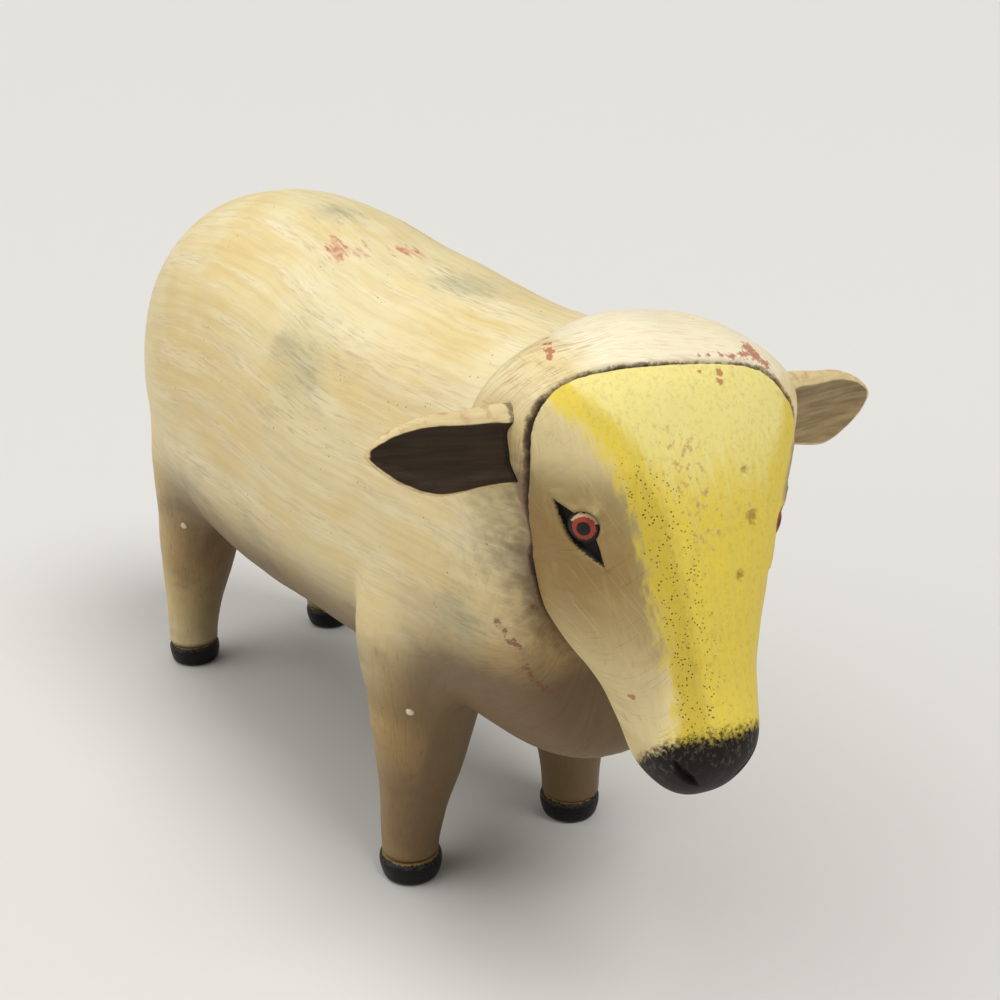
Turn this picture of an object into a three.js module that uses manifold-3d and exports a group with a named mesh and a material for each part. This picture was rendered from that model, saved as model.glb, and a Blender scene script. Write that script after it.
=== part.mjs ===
// Carved and painted wooden sheep: a barrel body with a hood behind the face, a separate face
// block turned a little to the animal's right, four tapered legs on black hooves, two leaf
// shaped ears, two eye beads and a short tail, all pegged, pinned and glued together.
// Millimetres, +Z up, the nose towards -Y and the animal's left towards +X.
import * as THREE from "three";
import { mergeVertices } from "three/addons/utils/BufferGeometryUtils.js";
import Module from "manifold-3d";

const wasm = await Module();
wasm.setup();

// Fits
const glueGap = 0.3; // left round every peg, tenon and scribed joint

// Barrel of the body: three carved sections between a round rump and a blunt neck end
const bodyRear = 108;
const bodyFront = -175;
const rumpSection = { y: 50, top: 209, bottom: 60.5, wide: 111 };
const middleSection = { y: -35, top: 203.5, bottom: 61, wide: 108.5 };
const shoulderSection = { y: -120, top: 197, bottom: 66, wide: 97 };
const rumpBluntness = 3.8;
const neckBluntness = 9;
const barrelRoundness = 2.1;

// Head and hood: one carved form in level sections, cut in two by the joint behind the face.
// Fronts and backs are measured ahead of the pivot that the head turns on.
const headTurn = 7.5; // degrees to the animal's right
const headTilt = 2; // degrees, left side down
const headPivot = -120;
const headTop = 205.5;
const headBottom = 89;
const muzzleSection = { z: 101, front: 107, back: 76, wide: 31.5 };
const bridgeSection = { z: 124, front: 101, back: 50, wide: 45 };
const cheekSection = { z: 150, front: 95.5, back: 22, wide: 65 };
const browSection = { z: 176, front: 88, back: 8, wide: 87.5 };
const pollSection = { z: 196, front: 79, back: 20, wide: 82 };
const muzzleBluntness = 2.5;
const pollBluntness = 3.4;
const headRoundness = 2.4;

// Joint plane behind the face
const jointForward = 69;
const jointHeight = 172;
const jointLean = 9; // degrees, top forward
const jointTurn = 3.7; // degrees, right side back

// Dowels that hold the face on the hood
const dowelDiameter = 12;
const dowelInFace = 12;
const dowelInBody = 26;
const upperDowelHeight = 176;
const lowerDowelHeight = 146;

// Hooves
const hoofTrack = 67;
const hoofBase = 189;
const hoofDiameter = 21.4;
const hoofSoleDiameter = 19.5;
const hoofHeight = 9;
const hoofRounding = 2;
const spigotDiameter = 9;
const spigotLength = 5;

// Legs: round sections that drift inward and forward on the way up, front and rear alike to the hip
const ankle = { z: hoofHeight + glueGap, wide: 20.2, inward: 0, forward: 0 };
const shin = { z: 26, wide: 22.5, inward: 1, forward: 1 };
const knee = { z: 44, wide: 29, inward: 3.5, forward: 2 };
const hip = { z: 64, wide: 36, inward: 5, forward: 3 };
const frontHaunch = { z: 98, wide: 46, inward: 7.5, forward: 5 };
const rearHaunch = { z: 98, wide: 41, inward: 10, forward: 9.5 };
const frontCrest = { z: 130, wide: 26, inward: 17, forward: 12 };
const rearCrest = { z: 130, wide: 24, inward: 18, forward: 21 };
const tenonDiameter = 18;
const tenonTop = 112;

// Pins driven up through each leg into the barrel
const pinDiameter = 3;
const pinLength = 30;
const pinHeight = 72;
const pinRise = 14; // degrees above level
const pinTurn = 45; // degrees outward from straight ahead, where the pin enters

// Ears
const earHeight = 180;
const earLength = 34.7;
const earRootWide = 20.8;
const earWide = 21.5;
const earBelly = 15; // from the root to the widest place
const earPointing = 1.6; // how late the blade starts to narrow
const earTipBluntness = 0.8;
const earThick = 7.5;
const earTipThick = 3;
const earSeat = 4; // of the blade's length that is scribed to the hood
const earSweep = 9.5; // degrees back from straight sideways
const earDrop = 1.8; // of the blade's middle line at the widest place
const earTipDrop = 0.7;
const earBehindJoint = 8.8;
const earDishDepth = 2.8;
const earDishLong = 30;
const earDishWide = 17;
const earPegDiameter = 6;
const earPegLength = 10;

// Eyes
const rightEyeHeight = 163;
const leftEyeHeight = 157.5;
const rightEyeAngle = 42.5; // degrees forward from straight sideways
const leftEyeAngle = 45;
const eyeDiameter = 9;
const eyeRim = 1;
const eyeBulge = 2.2;
const eyeShoulder = { across: 0.84, up: 0.45 }; // shares of the bead's width and bulge
const eyeCrown = { across: 0.5, up: 0.85 };
const eyeStemDiameter = 4;
const eyeStemLength = 7;

// Tail
const tailTop = 178;
const tailBottom = 132;
const tailWide = 15;
const tailThick = 13;
const tailStandOff = 2; // of the tail's middle line from the rump
const tailBluntness = 2.4;
const tailPegDiameter = 6;
const tailPegLength = 14;

// Facets
const barrelRings = 30;
const barrelSides = 40;
const headRings = 26;
const headSides = 36;
const limbRings = 12;
const limbSides = 20;
const earRings = 9;
const turnedSides = 20;

const radians = THREE.MathUtils.degToRad;
const xAxis = new THREE.Vector3(1, 0, 0);
const yAxis = new THREE.Vector3(0, 1, 0);
const zAxis = new THREE.Vector3(0, 0, 1);

// Solids and geometry

function solid(geometry, matrix = new THREE.Matrix4()) {
  const bare = geometry.clone().applyMatrix4(matrix);
  bare.deleteAttribute("normal");
  bare.deleteAttribute("uv");
  const merged = mergeVertices(bare);
  return new wasm.Manifold(
    new wasm.Mesh({
      numProp: 3,
      vertProperties: new Float32Array(merged.attributes.position.array),
      triVerts: new Uint32Array(merged.index.array),
    }),
  );
}

function geometryOf(body) {
  const mesh = body.getMesh();
  const geometry = new THREE.BufferGeometry();
  geometry.setAttribute("position", new THREE.BufferAttribute(mesh.vertProperties, 3));
  geometry.setIndex(new THREE.BufferAttribute(mesh.triVerts, 1));
  geometry.computeVertexNormals();
  return geometry;
}

// A closed skin over rings of equal count, each end closed by a fan.
function loft(rings) {
  const sides = rings[0].length;
  const middleOf = (points) =>
    points.reduce((sum, p) => sum.add(p), new THREE.Vector3()).divideScalar(sides);
  const points = [...rings.flat(), middleOf(rings[0]), middleOf(rings.at(-1))];
  const first = points.length - 2;
  const last = points.length - 1;
  const end = (rings.length - 1) * sides;
  const index = [];
  for (let s = 0; s < sides; s++) {
    const t = (s + 1) % sides;
    index.push(first, t, s);
    for (let a = 0; a < end; a += sides) {
      const b = a + sides;
      index.push(a + s, a + t, b + t);
      index.push(a + s, b + t, b + s);
    }
    index.push(last, end + s, end + t);
  }
  return new THREE.BufferGeometry().setFromPoints(points).setIndex(index);
}

// Sine or cosine bent from a circle's towards a rounded box's.
const bend = (v, roundness) => Math.sign(v) * Math.abs(v) ** (2 / roundness);

// A ring of superellipse shape; its loft runs along across x up.
function ring(centre, across, up, halfAcross, halfUp, roundness, sides) {
  return Array.from({ length: sides }, (_, k) => {
    const angle = (2 * Math.PI * k) / sides;
    return centre
      .clone()
      .addScaledVector(across, halfAcross * bend(Math.cos(angle), roundness))
      .addScaledVector(up, halfUp * bend(Math.sin(angle), roundness));
  });
}

// Smooth curve through a value of the stations, level beyond its ends.
function through(stations, along, at, value) {
  const n = stations.length;
  const x = stations.map((s) => s[along]);
  const v = stations.map(value);
  if (at <= x[0]) return v[0];
  if (at >= x[n - 1]) return v[n - 1];
  const k = x.findIndex((edge) => at < edge) - 1;
  const slope = (i) => {
    if (i === 0 || i === n - 1) return 0;
    return (v[i + 1] - v[i - 1]) / (x[i + 1] - x[i - 1]);
  };
  const h = x[k + 1] - x[k];
  const t = (at - x[k]) / h;
  const rise = t * t * (3 - 2 * t);
  const leave = t * (1 - t) * (1 - t);
  const arrive = t * t * (t - 1);
  return v[k] + (v[k + 1] - v[k]) * rise + h * (slope(k) * leave + slope(k + 1) * arrive);
}

// How far a rounded end has closed in, from 1 in the middle to 0 at the end.
const closing = (u, bluntness) =>
  Math.max(0, 1 - Math.abs(u) ** bluntness) ** (1 / bluntness);

// Steps from -1 to 1, closer towards both ends, with the very ends left out.
const steps = (count) =>
  Array.from({ length: count - 1 }, (_, k) => -Math.cos((Math.PI * (k + 1)) / count));

function turned(profile) {
  const points = profile.map(([r, z]) => new THREE.Vector2(r, z));
  return new THREE.LatheGeometry(points, turnedSides).rotateX(Math.PI / 2);
}

function rod(diameter, from, to) {
  const radius = diameter / 2;
  return turned([
    [0, from],
    [radius, from],
    [radius, to],
    [0, to],
  ]);
}

// A frame whose own +Z points along a direction.
function facing(position, direction) {
  const turn = new THREE.Quaternion().setFromUnitVectors(zAxis, direction.clone().normalize());
  return new THREE.Matrix4().compose(position, turn, new THREE.Vector3(1, 1, 1));
}

// Barrel

const barrelSections = [shoulderSection, middleSection, rumpSection];
const barrelMiddle = (bodyRear + bodyFront) / 2;
const barrelHalf = (bodyRear - bodyFront) / 2;
const barrelClosing = (u) => closing(u, u > 0 ? rumpBluntness : neckBluntness);
const barrelFull = (s) => barrelClosing((s.y - barrelMiddle) / barrelHalf);
const barrelAxis = (y) => through(barrelSections, "y", y, (s) => (s.top + s.bottom) / 2);
const barrelHigh = (y) =>
  through(barrelSections, "y", y, (s) => (s.top - s.bottom) / 2 / barrelFull(s));
const barrelWide = (y) => through(barrelSections, "y", y, (s) => s.wide / 2 / barrelFull(s));

function barrelForm(grow) {
  const rings = steps(barrelRings).map((u) => {
    const y = barrelMiddle + barrelHalf * u;
    const centre = new THREE.Vector3(0, y + grow * u, barrelAxis(y));
    const high = barrelHigh(y) * barrelClosing(u) + grow;
    const wide = barrelWide(y) * barrelClosing(u) + grow;
    return ring(centre, zAxis, xAxis, high, wide, barrelRoundness, barrelSides);
  });
  return solid(loft(rings));
}

// Where the rump's back ends at a height, on the middle plane.
function rumpAt(z) {
  const lift = Math.abs(z - barrelAxis(bodyRear)) / barrelHigh(bodyRear);
  return barrelMiddle + barrelHalf * closing(lift, rumpBluntness);
}

// Head, in a frame of its own: sideways, then -Y ahead of the pivot, then up

const headFrame = new THREE.Matrix4()
  .makeTranslation(0, headPivot, jointHeight)
  .multiply(new THREE.Matrix4().makeRotationZ(-radians(headTurn)))
  .multiply(new THREE.Matrix4().makeRotationY(radians(headTilt)))
  .multiply(new THREE.Matrix4().makeTranslation(0, 0, -jointHeight));

const headSections = [muzzleSection, bridgeSection, cheekSection, browSection, pollSection];
const headMiddle = (headTop + headBottom) / 2;
const headHalf = (headTop - headBottom) / 2;
const headClosing = (z) => {
  const u = (z - headMiddle) / headHalf;
  return closing(u, u > 0 ? pollBluntness : muzzleBluntness);
};
const headAxis = (z) => through(headSections, "z", z, (s) => (s.front + s.back) / 2);
const headDeep = (z) =>
  through(headSections, "z", z, (s) => (s.front - s.back) / 2 / headClosing(s.z)) * headClosing(z);
const headWide = (z) =>
  through(headSections, "z", z, (s) => s.wide / 2 / headClosing(s.z)) * headClosing(z);

// A point of the head's skin, by height and by angle forward from straight to the left.
function headPoint(z, angle) {
  const forward = headAxis(z) + headDeep(z) * bend(Math.sin(angle), headRoundness);
  return new THREE.Vector3(headWide(z) * bend(Math.cos(angle), headRoundness), -forward, z);
}

// The angle at which the skin lies a given length ahead of the pivot.
function headAngle(z, forward) {
  const share = (forward - headAxis(z)) / headDeep(z);
  return Math.asin(Math.sign(share) * Math.abs(share) ** (headRoundness / 2));
}

function headForm(grow) {
  const rings = steps(headRings).map((u) => {
    const z = headMiddle + headHalf * u;
    const centre = new THREE.Vector3(0, -headAxis(z), z + grow * u);
    const wide = headWide(z) + grow;
    const deep = headDeep(z) + grow;
    return ring(centre, xAxis, yAxis, wide, deep, headRoundness, headSides);
  });
  return solid(loft(rings), headFrame);
}

// Joint between face and hood

const leanAngle = radians(jointLean);
const jointNormal = new THREE.Vector3(0, -Math.cos(leanAngle), -Math.sin(leanAngle))
  .applyAxisAngle(zAxis, -radians(jointTurn));
const jointAt = (z) => jointForward + (z - jointHeight) * Math.tan(leanAngle);
const jointFrame = (z) =>
  headFrame.clone().multiply(facing(new THREE.Vector3(0, -jointAt(z), z), jointNormal));

// The space on one side of the joint, kept back by half the glue gap.
function besideJoint(sign) {
  const size = 4 * barrelHalf;
  const block = new THREE.BoxGeometry(size, size, size);
  block.translate(0, 0, (sign * (size + glueGap)) / 2);
  return solid(block, jointFrame(jointHeight));
}

const dowel = (grow) => rod(dowelDiameter + 2 * grow, -dowelInBody - grow, dowelInFace + grow);

// Legs and hooves

const frontLeg = [ankle, shin, knee, hip, frontHaunch, frontCrest];
const rearLeg = [ankle, shin, knee, hip, rearHaunch, rearCrest];
const corners = [
  { name: "front_right", x: -1, y: -1, stations: frontLeg },
  { name: "front_left", x: 1, y: -1, stations: frontLeg },
  { name: "rear_right", x: -1, y: 1, stations: rearLeg },
  { name: "rear_left", x: 1, y: 1, stations: rearLeg },
];
const legWide = (corner, z) => through(corner.stations, "z", z, (s) => s.wide / 2);

function legCentre(corner, z) {
  const inward = through(corner.stations, "z", z, (s) => s.inward);
  const forward = through(corner.stations, "z", z, (s) => s.forward);
  const x = corner.x * (hoofTrack / 2 - inward);
  const y = (corner.y * hoofBase) / 2 - forward;
  return new THREE.Vector3(x, y, z);
}

function legForm(corner) {
  const rise = corner.stations.at(-1).z - ankle.z;
  const rings = Array.from({ length: limbRings + 1 }, (_, k) => {
    const z = ankle.z + (rise * k) / limbRings;
    const wide = legWide(corner, z);
    return ring(legCentre(corner, z), xAxis, yAxis, wide, wide, 2, limbSides);
  });
  return solid(loft(rings));
}

const standing = (corner, z) =>
  new THREE.Matrix4().setPosition(legCentre(corner, z).setComponent(2, 0));
const tenon = (grow) => rod(tenonDiameter + 2 * grow, knee.z, tenonTop + grow);
const spigot = (grow) => rod(spigotDiameter + 2 * grow, hoofHeight - spigotLength - grow, shin.z);

function pinFrame(corner) {
  const turn = radians(pinTurn);
  const rise = radians(pinRise);
  const out = new THREE.Vector3(corner.x * Math.sin(turn), -Math.cos(turn), 0);
  const start = legCentre(corner, pinHeight).addScaledVector(out, legWide(corner, pinHeight));
  const inward = out.multiplyScalar(-Math.cos(rise)).addScaledVector(zAxis, Math.sin(rise));
  return facing(start, inward);
}

const pin = rod(pinDiameter, 0, pinLength);
const pinHole = rod(pinDiameter + 2 * glueGap, -2 * pinDiameter, pinLength + glueGap);

const hoofProfile = [
  [0, 0],
  [hoofSoleDiameter / 2 - hoofRounding, 0],
  [hoofSoleDiameter / 2, hoofRounding / 2],
  [hoofDiameter / 2, hoofHeight / 2],
  [hoofDiameter / 2, hoofHeight - hoofRounding],
  [ankle.wide / 2, hoofHeight - hoofRounding / 4],
  [ankle.wide / 2 - hoofRounding / 4, hoofHeight],
  [0, hoofHeight],
];

// Ears: a leaf with a dished front, on a peg in the hood

const faceSides = [
  { name: "right", x: -1, eyeHeight: rightEyeHeight, eyeAngle: rightEyeAngle },
  { name: "left", x: 1, eyeHeight: leftEyeHeight, eyeAngle: leftEyeAngle },
];

function earFrame(side) {
  const root = headPoint(earHeight, headAngle(earHeight, jointAt(earHeight) - earBehindJoint));
  const out = xAxis.clone().multiplyScalar(side.x);
  const basis = new THREE.Matrix4().makeBasis(out, zAxis.clone().cross(out), zAxis);
  root.x *= side.x;
  return headFrame
    .clone()
    .multiply(new THREE.Matrix4().setPosition(root))
    .multiply(new THREE.Matrix4().makeRotationZ(side.x * radians(earSweep)))
    .multiply(basis);
}

function earForm(side) {
  const outline = [
    { x: 0, wide: earRootWide, drop: 0 },
    { x: earBelly, wide: earWide, drop: earDrop },
    { x: earLength, wide: earWide, drop: earTipDrop },
  ];
  const rings = Array.from({ length: earRings }, (_, k) => {
    const x = -earSeat + (earLength + earSeat) * Math.sin((k / earRings) * (Math.PI / 2));
    const past = Math.max(0, (x - earBelly) / (earLength - earBelly));
    const taper = (1 - past ** earPointing) ** earTipBluntness;
    const wide = through(outline, "x", x, (s) => s.wide / 2) * taper;
    const middle = new THREE.Vector3(x, 0, -through(outline, "x", x, (s) => s.drop));
    const thick = (earTipThick + (earThick - earTipThick) * taper) / 2;
    return ring(middle, yAxis, zAxis, thick, wide, 2, limbSides);
  });
  const dish = new THREE.SphereGeometry(1, limbSides, limbSides / 2);
  const dishDeep = earThick;
  dish.scale(earDishLong / 2, dishDeep, earDishWide / 2);
  dish.translate(earBelly, -side.x * (earThick / 2 - earDishDepth + dishDeep), -earDrop);
  return solid(loft(rings)).subtract(solid(dish));
}

const earPeg = (grow) =>
  rod(earPegDiameter + 2 * grow, -earPegLength - grow, earSeat).rotateY(Math.PI / 2);

// Eyes: a low bead on a stem, set in a round seat

function eyeFrame(side) {
  const angle = radians(side.eyeAngle);
  const step = radians(1);
  const point = headPoint(side.eyeHeight, angle);
  const forward = headPoint(side.eyeHeight, angle + step).sub(point);
  const up = headPoint(side.eyeHeight + step, angle).sub(point);
  const normal = up.cross(forward).normalize();
  point.x *= side.x;
  normal.x *= side.x;
  return headFrame.clone().multiply(facing(point, normal));
}

const eyeBead = turned([
  [0, -eyeStemLength],
  [eyeStemDiameter / 2, -eyeStemLength],
  [eyeStemDiameter / 2, -eyeRim],
  [eyeDiameter / 2, -eyeRim],
  [eyeDiameter / 2, 0],
  [(eyeDiameter / 2) * eyeShoulder.across, eyeBulge * eyeShoulder.up],
  [(eyeDiameter / 2) * eyeCrown.across, eyeBulge * eyeCrown.up],
  [0, eyeBulge],
]);
const eyeSeat = turned([
  [0, -eyeStemLength - glueGap],
  [eyeStemDiameter / 2 + glueGap, -eyeStemLength - glueGap],
  [eyeStemDiameter / 2 + glueGap, -eyeRim - glueGap],
  [eyeDiameter / 2 + glueGap, -eyeRim - glueGap],
  [eyeDiameter / 2 + glueGap, eyeDiameter],
  [0, eyeDiameter],
]);

// Tail: a short tapering tongue scribed to the rump

function tailForm() {
  const middle = (tailTop + tailBottom) / 2;
  const half = (tailTop - tailBottom) / 2;
  const rings = steps(limbRings).map((u) => {
    const z = middle + half * u;
    const centre = new THREE.Vector3(0, rumpAt(z) + tailStandOff, z);
    const size = closing(u, tailBluntness) / 2;
    return ring(centre, xAxis, yAxis, tailWide * size, tailThick * size, 2, limbSides);
  });
  return solid(loft(rings));
}

const tailPegFrame = () => {
  const height = (tailTop + tailBottom) / 2;
  return facing(new THREE.Vector3(0, rumpAt(height) + tailStandOff, height), yAxis.clone().negate());
};
const tailPeg = (grow) => rod(tailPegDiameter + 2 * grow, 0, tailPegLength + grow);

// Assembly

const paint = (color, roughness) =>
  new THREE.MeshStandardMaterial({ color, roughness, metalness: 0 });
const creamPaint = () => paint(0xd8c493, 0.6);
const yellowPaint = () => paint(0xd9c04a, 0.55);
const tanPaint = () => paint(0xb08f5e, 0.6);
const blackPaint = () => paint(0x1d1c1e, 0.45);
const redPaint = () => paint(0xa03a22, 0.35);
const bareWood = () => paint(0xb58a55, 0.75);

const figure = new THREE.Group();
function add(name, body, material) {
  const mesh = new THREE.Mesh(geometryOf(body), material);
  mesh.name = name;
  figure.add(mesh);
}

const barrelRoom = barrelForm(glueGap);
const headRoom = headForm(glueGap);
let body = barrelForm(0).add(headForm(0).intersect(besideJoint(-1)));
let face = headForm(0).intersect(besideJoint(1)).subtract(barrelRoom);

for (const [name, height] of [["upper", upperDowelHeight], ["lower", lowerDowelHeight]]) {
  const frame = jointFrame(height);
  const hole = solid(dowel(glueGap), frame);
  body = body.subtract(hole);
  face = face.subtract(hole);
  add(`neck_dowel_${name}`, solid(dowel(0), frame), bareWood());
}

for (const corner of corners) {
  const atHip = standing(corner, hip.z);
  const atHoof = standing(corner, 0);
  const hole = solid(pinHole, pinFrame(corner));
  const leg = legForm(corner)
    .subtract(barrelRoom)
    .add(solid(tenon(0), atHip))
    .add(solid(spigot(0), atHoof));
  const hoof = solid(turned(hoofProfile), atHoof).subtract(solid(spigot(glueGap), atHoof));
  body = body.subtract(solid(tenon(glueGap), atHip)).subtract(hole);
  add(`leg_${corner.name}`, leg.subtract(hole), tanPaint());
  add(`leg_pin_${corner.name}`, solid(pin, pinFrame(corner)), bareWood());
  add(`hoof_${corner.name}`, hoof, blackPaint());
}

for (const side of faceSides) {
  const frame = earFrame(side);
  const blade = solid(geometryOf(earForm(side)), frame).subtract(headRoom).subtract(barrelRoom);
  body = body.subtract(solid(earPeg(glueGap), frame));
  add(`ear_${side.name}`, blade.add(solid(earPeg(0), frame)), tanPaint());
}

for (const side of faceSides) {
  const frame = eyeFrame(side);
  face = face.subtract(solid(eyeSeat, frame));
  add(`eye_${side.name}`, solid(eyeBead, frame), redPaint());
}

const tail = tailForm().subtract(barrelRoom).add(solid(tailPeg(0), tailPegFrame()));
body = body.subtract(solid(tailPeg(glueGap), tailPegFrame()));
add("tail", tail, creamPaint());
add("body_block", body, creamPaint());
add("head_block", face, yellowPaint());

// The origin lies under the middle of the whole figure, on the ground.
const reach = new THREE.Box3().setFromObject(figure);
const centre = reach.getCenter(new THREE.Vector3());
figure.position.set(-centre.x, -centre.y, -reach.min.z);

const sheep = new THREE.Group();
sheep.add(figure);

export default sheep;
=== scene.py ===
"""Looks of a carved and painted wooden sheep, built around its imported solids.

The carved forms are worked out in millimetres in the hoof frame: its origin lies on the ground in
the middle between the four hooves, the nose points to -Y and the animal's left side to +X.
"""

import logging
import math
from dataclasses import dataclass, field
from enum import Enum
from typing import Iterable

import bpy
import numpy as np
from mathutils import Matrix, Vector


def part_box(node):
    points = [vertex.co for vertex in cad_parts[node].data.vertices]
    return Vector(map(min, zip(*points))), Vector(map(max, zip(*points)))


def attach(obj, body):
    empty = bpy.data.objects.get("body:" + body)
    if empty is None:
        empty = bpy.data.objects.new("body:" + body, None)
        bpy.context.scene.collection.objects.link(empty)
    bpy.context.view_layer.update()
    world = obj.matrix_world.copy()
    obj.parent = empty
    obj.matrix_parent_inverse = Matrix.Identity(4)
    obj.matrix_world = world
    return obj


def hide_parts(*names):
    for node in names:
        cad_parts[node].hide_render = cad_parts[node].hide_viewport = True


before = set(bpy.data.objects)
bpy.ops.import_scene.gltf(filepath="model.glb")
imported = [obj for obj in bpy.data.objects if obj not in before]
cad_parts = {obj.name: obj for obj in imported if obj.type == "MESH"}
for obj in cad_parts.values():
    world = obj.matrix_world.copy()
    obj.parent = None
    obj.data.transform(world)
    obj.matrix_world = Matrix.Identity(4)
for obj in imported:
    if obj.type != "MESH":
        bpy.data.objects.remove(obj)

import openvdb
from mathutils import Matrix, Vector

Array = np.ndarray
Span = tuple[float, float]
MM = 0.001
AXES = np.eye(3)
log = logging.getLogger("sheep")


class Care(Enum):
    """How carefully a form's distance is measured."""

    ROUGH = "level only"
    EXACT = "level over its slope"


class Side(Enum):
    """A side of the face, by the sign of its X."""

    RIGHT = -1
    LEFT = 1


class Corner(Enum):
    """A leg's place, by the signs of its X and Y."""

    FRONT_RIGHT = (-1, -1)
    FRONT_LEFT = (1, -1)
    REAR_RIGHT = (-1, 1)
    REAR_LEFT = (1, 1)


class Coords(Enum):
    """Where a paint's pattern takes its place from."""

    OBJECT = "object"
    STROKE = "stroke"
    LIMB = "limb_stroke"
    SCRATCH = "scratch"


class Pattern(Enum):
    """Kind of pattern in a paint."""

    CLOUD = "ShaderNodeTexNoise"
    CELLS = "ShaderNodeTexVoronoi"


def through(at: Array, places: Array, values: Array) -> Array:
    """Smooth curve through values at places, level beyond its ends.

    Args:
        at: where the curve is read.
        places: rising places of the values.
        values: values at the places.

    Returns:
        The curve's values.
    """
    slope = np.zeros_like(values)
    slope[1:-1] = (values[2:] - values[:-2]) / (places[2:] - places[:-2])
    at = np.clip(at, places[0], places[-1])
    k = np.clip(np.searchsorted(places, at, side="right") - 1, 0, len(places) - 2)
    width = places[k + 1] - places[k]
    t = (at - places[k]) / width
    bent = slope[k] * t * (1 - t) ** 2 + slope[k + 1] * t * t * (t - 1)
    return values[k] + (values[k + 1] - values[k]) * t * t * (3 - 2 * t) + width * bent


def ease(low: float, high: float, value: Array) -> Array:
    """Smooth step from 0 at low to 1 at high."""
    t = np.clip((value - low) / (high - low), 0, 1)
    return t * t * (3 - 2 * t)


def melt(a: Array, b: Array, soft: float) -> Array:
    """Union of two distances with a fillet of about the soft length."""
    h = np.maximum(soft - np.abs(a - b), 0) / soft
    return np.minimum(a, b) - h * h * soft / 4


def meet(a: Array, b: Array, soft: float) -> Array:
    """Intersection of two distances with its edge rounded over about the soft length."""
    return -melt(-a, -b, soft)


def closing(u: Array, bluntness: float) -> Array:
    """How far a rounded end has closed in, from 1 in the middle to 0 at the end."""
    return np.maximum(0, 1 - np.abs(u) ** bluntness) ** (1 / bluntness)


def unevenness(at: Array, cell: float, seed: int) -> Array:
    """Soft seeded noise from -1 to 1.

    Args:
        at: points in mm.
        cell: size of a lump in mm.
        seed: which noise.

    Returns:
        One value a point.
    """
    count = 24
    table = np.random.default_rng(seed).random((count, count, count)) * 2 - 1
    whole = np.floor(at / cell)
    part = at / cell - whole
    part = part * part * (3 - 2 * part)
    base = whole.astype(int)
    total = np.zeros(len(at))
    for corner in np.ndindex(2, 2, 2):
        share = np.prod(np.where(np.array(corner) == 1, part, 1 - part), axis=1)
        total += share * table[tuple(((base + corner) % count).T)]
    return total


@dataclass(frozen=True)
class Lumps:
    """Seeded unevenness, by its height and the size of a lump in mm."""

    height: float
    cell: float
    seed: int

    def over(self, at: Array) -> Array:
        """Height of the lumps at points."""
        return self.height * unevenness(at, self.cell, self.seed)


def slanted(strokes: Array, degrees: float) -> Array:
    """Brush coordinates turned across the strokes, for scratches that cross them.

    Args:
        strokes: brush coordinates in mm.
        degrees: how far they are turned.

    Returns:
        The turned coordinates.
    """
    c, s = math.cos(math.radians(degrees)), math.sin(math.radians(degrees))
    u, v = strokes[:, 0], strokes[:, 1]
    return np.stack([c * u + s * v, c * v - s * u, strokes[:, 2]], 1)


def stations(*pairs: tuple[float, float]) -> tuple[Array, Array]:
    """Places and values of a curve from its pairs."""
    table = np.array(pairs, float)
    return table[:, 0], table[:, 1]


class Form:
    """A carved form whose level is below zero inside it, in mm."""

    def level(self, at: Array) -> Array:
        """Level of the form at points."""
        raise NotImplementedError

    def measure(self, at: Array, care: Care = Care.EXACT) -> Array:
        """Signed distance of points from the form's skin.

        Args:
            at: points in mm.
            care: whether the level is corrected by its slope.

        Returns:
            One distance a point, below zero inside.
        """
        here = self.level(at)
        if care is Care.ROUGH:
            return here
        step = 0.02
        slope = [(self.level(at + step * axis) - here) / step for axis in AXES]
        return here / np.maximum(np.linalg.norm(slope, axis=0), 1e-6)


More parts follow.
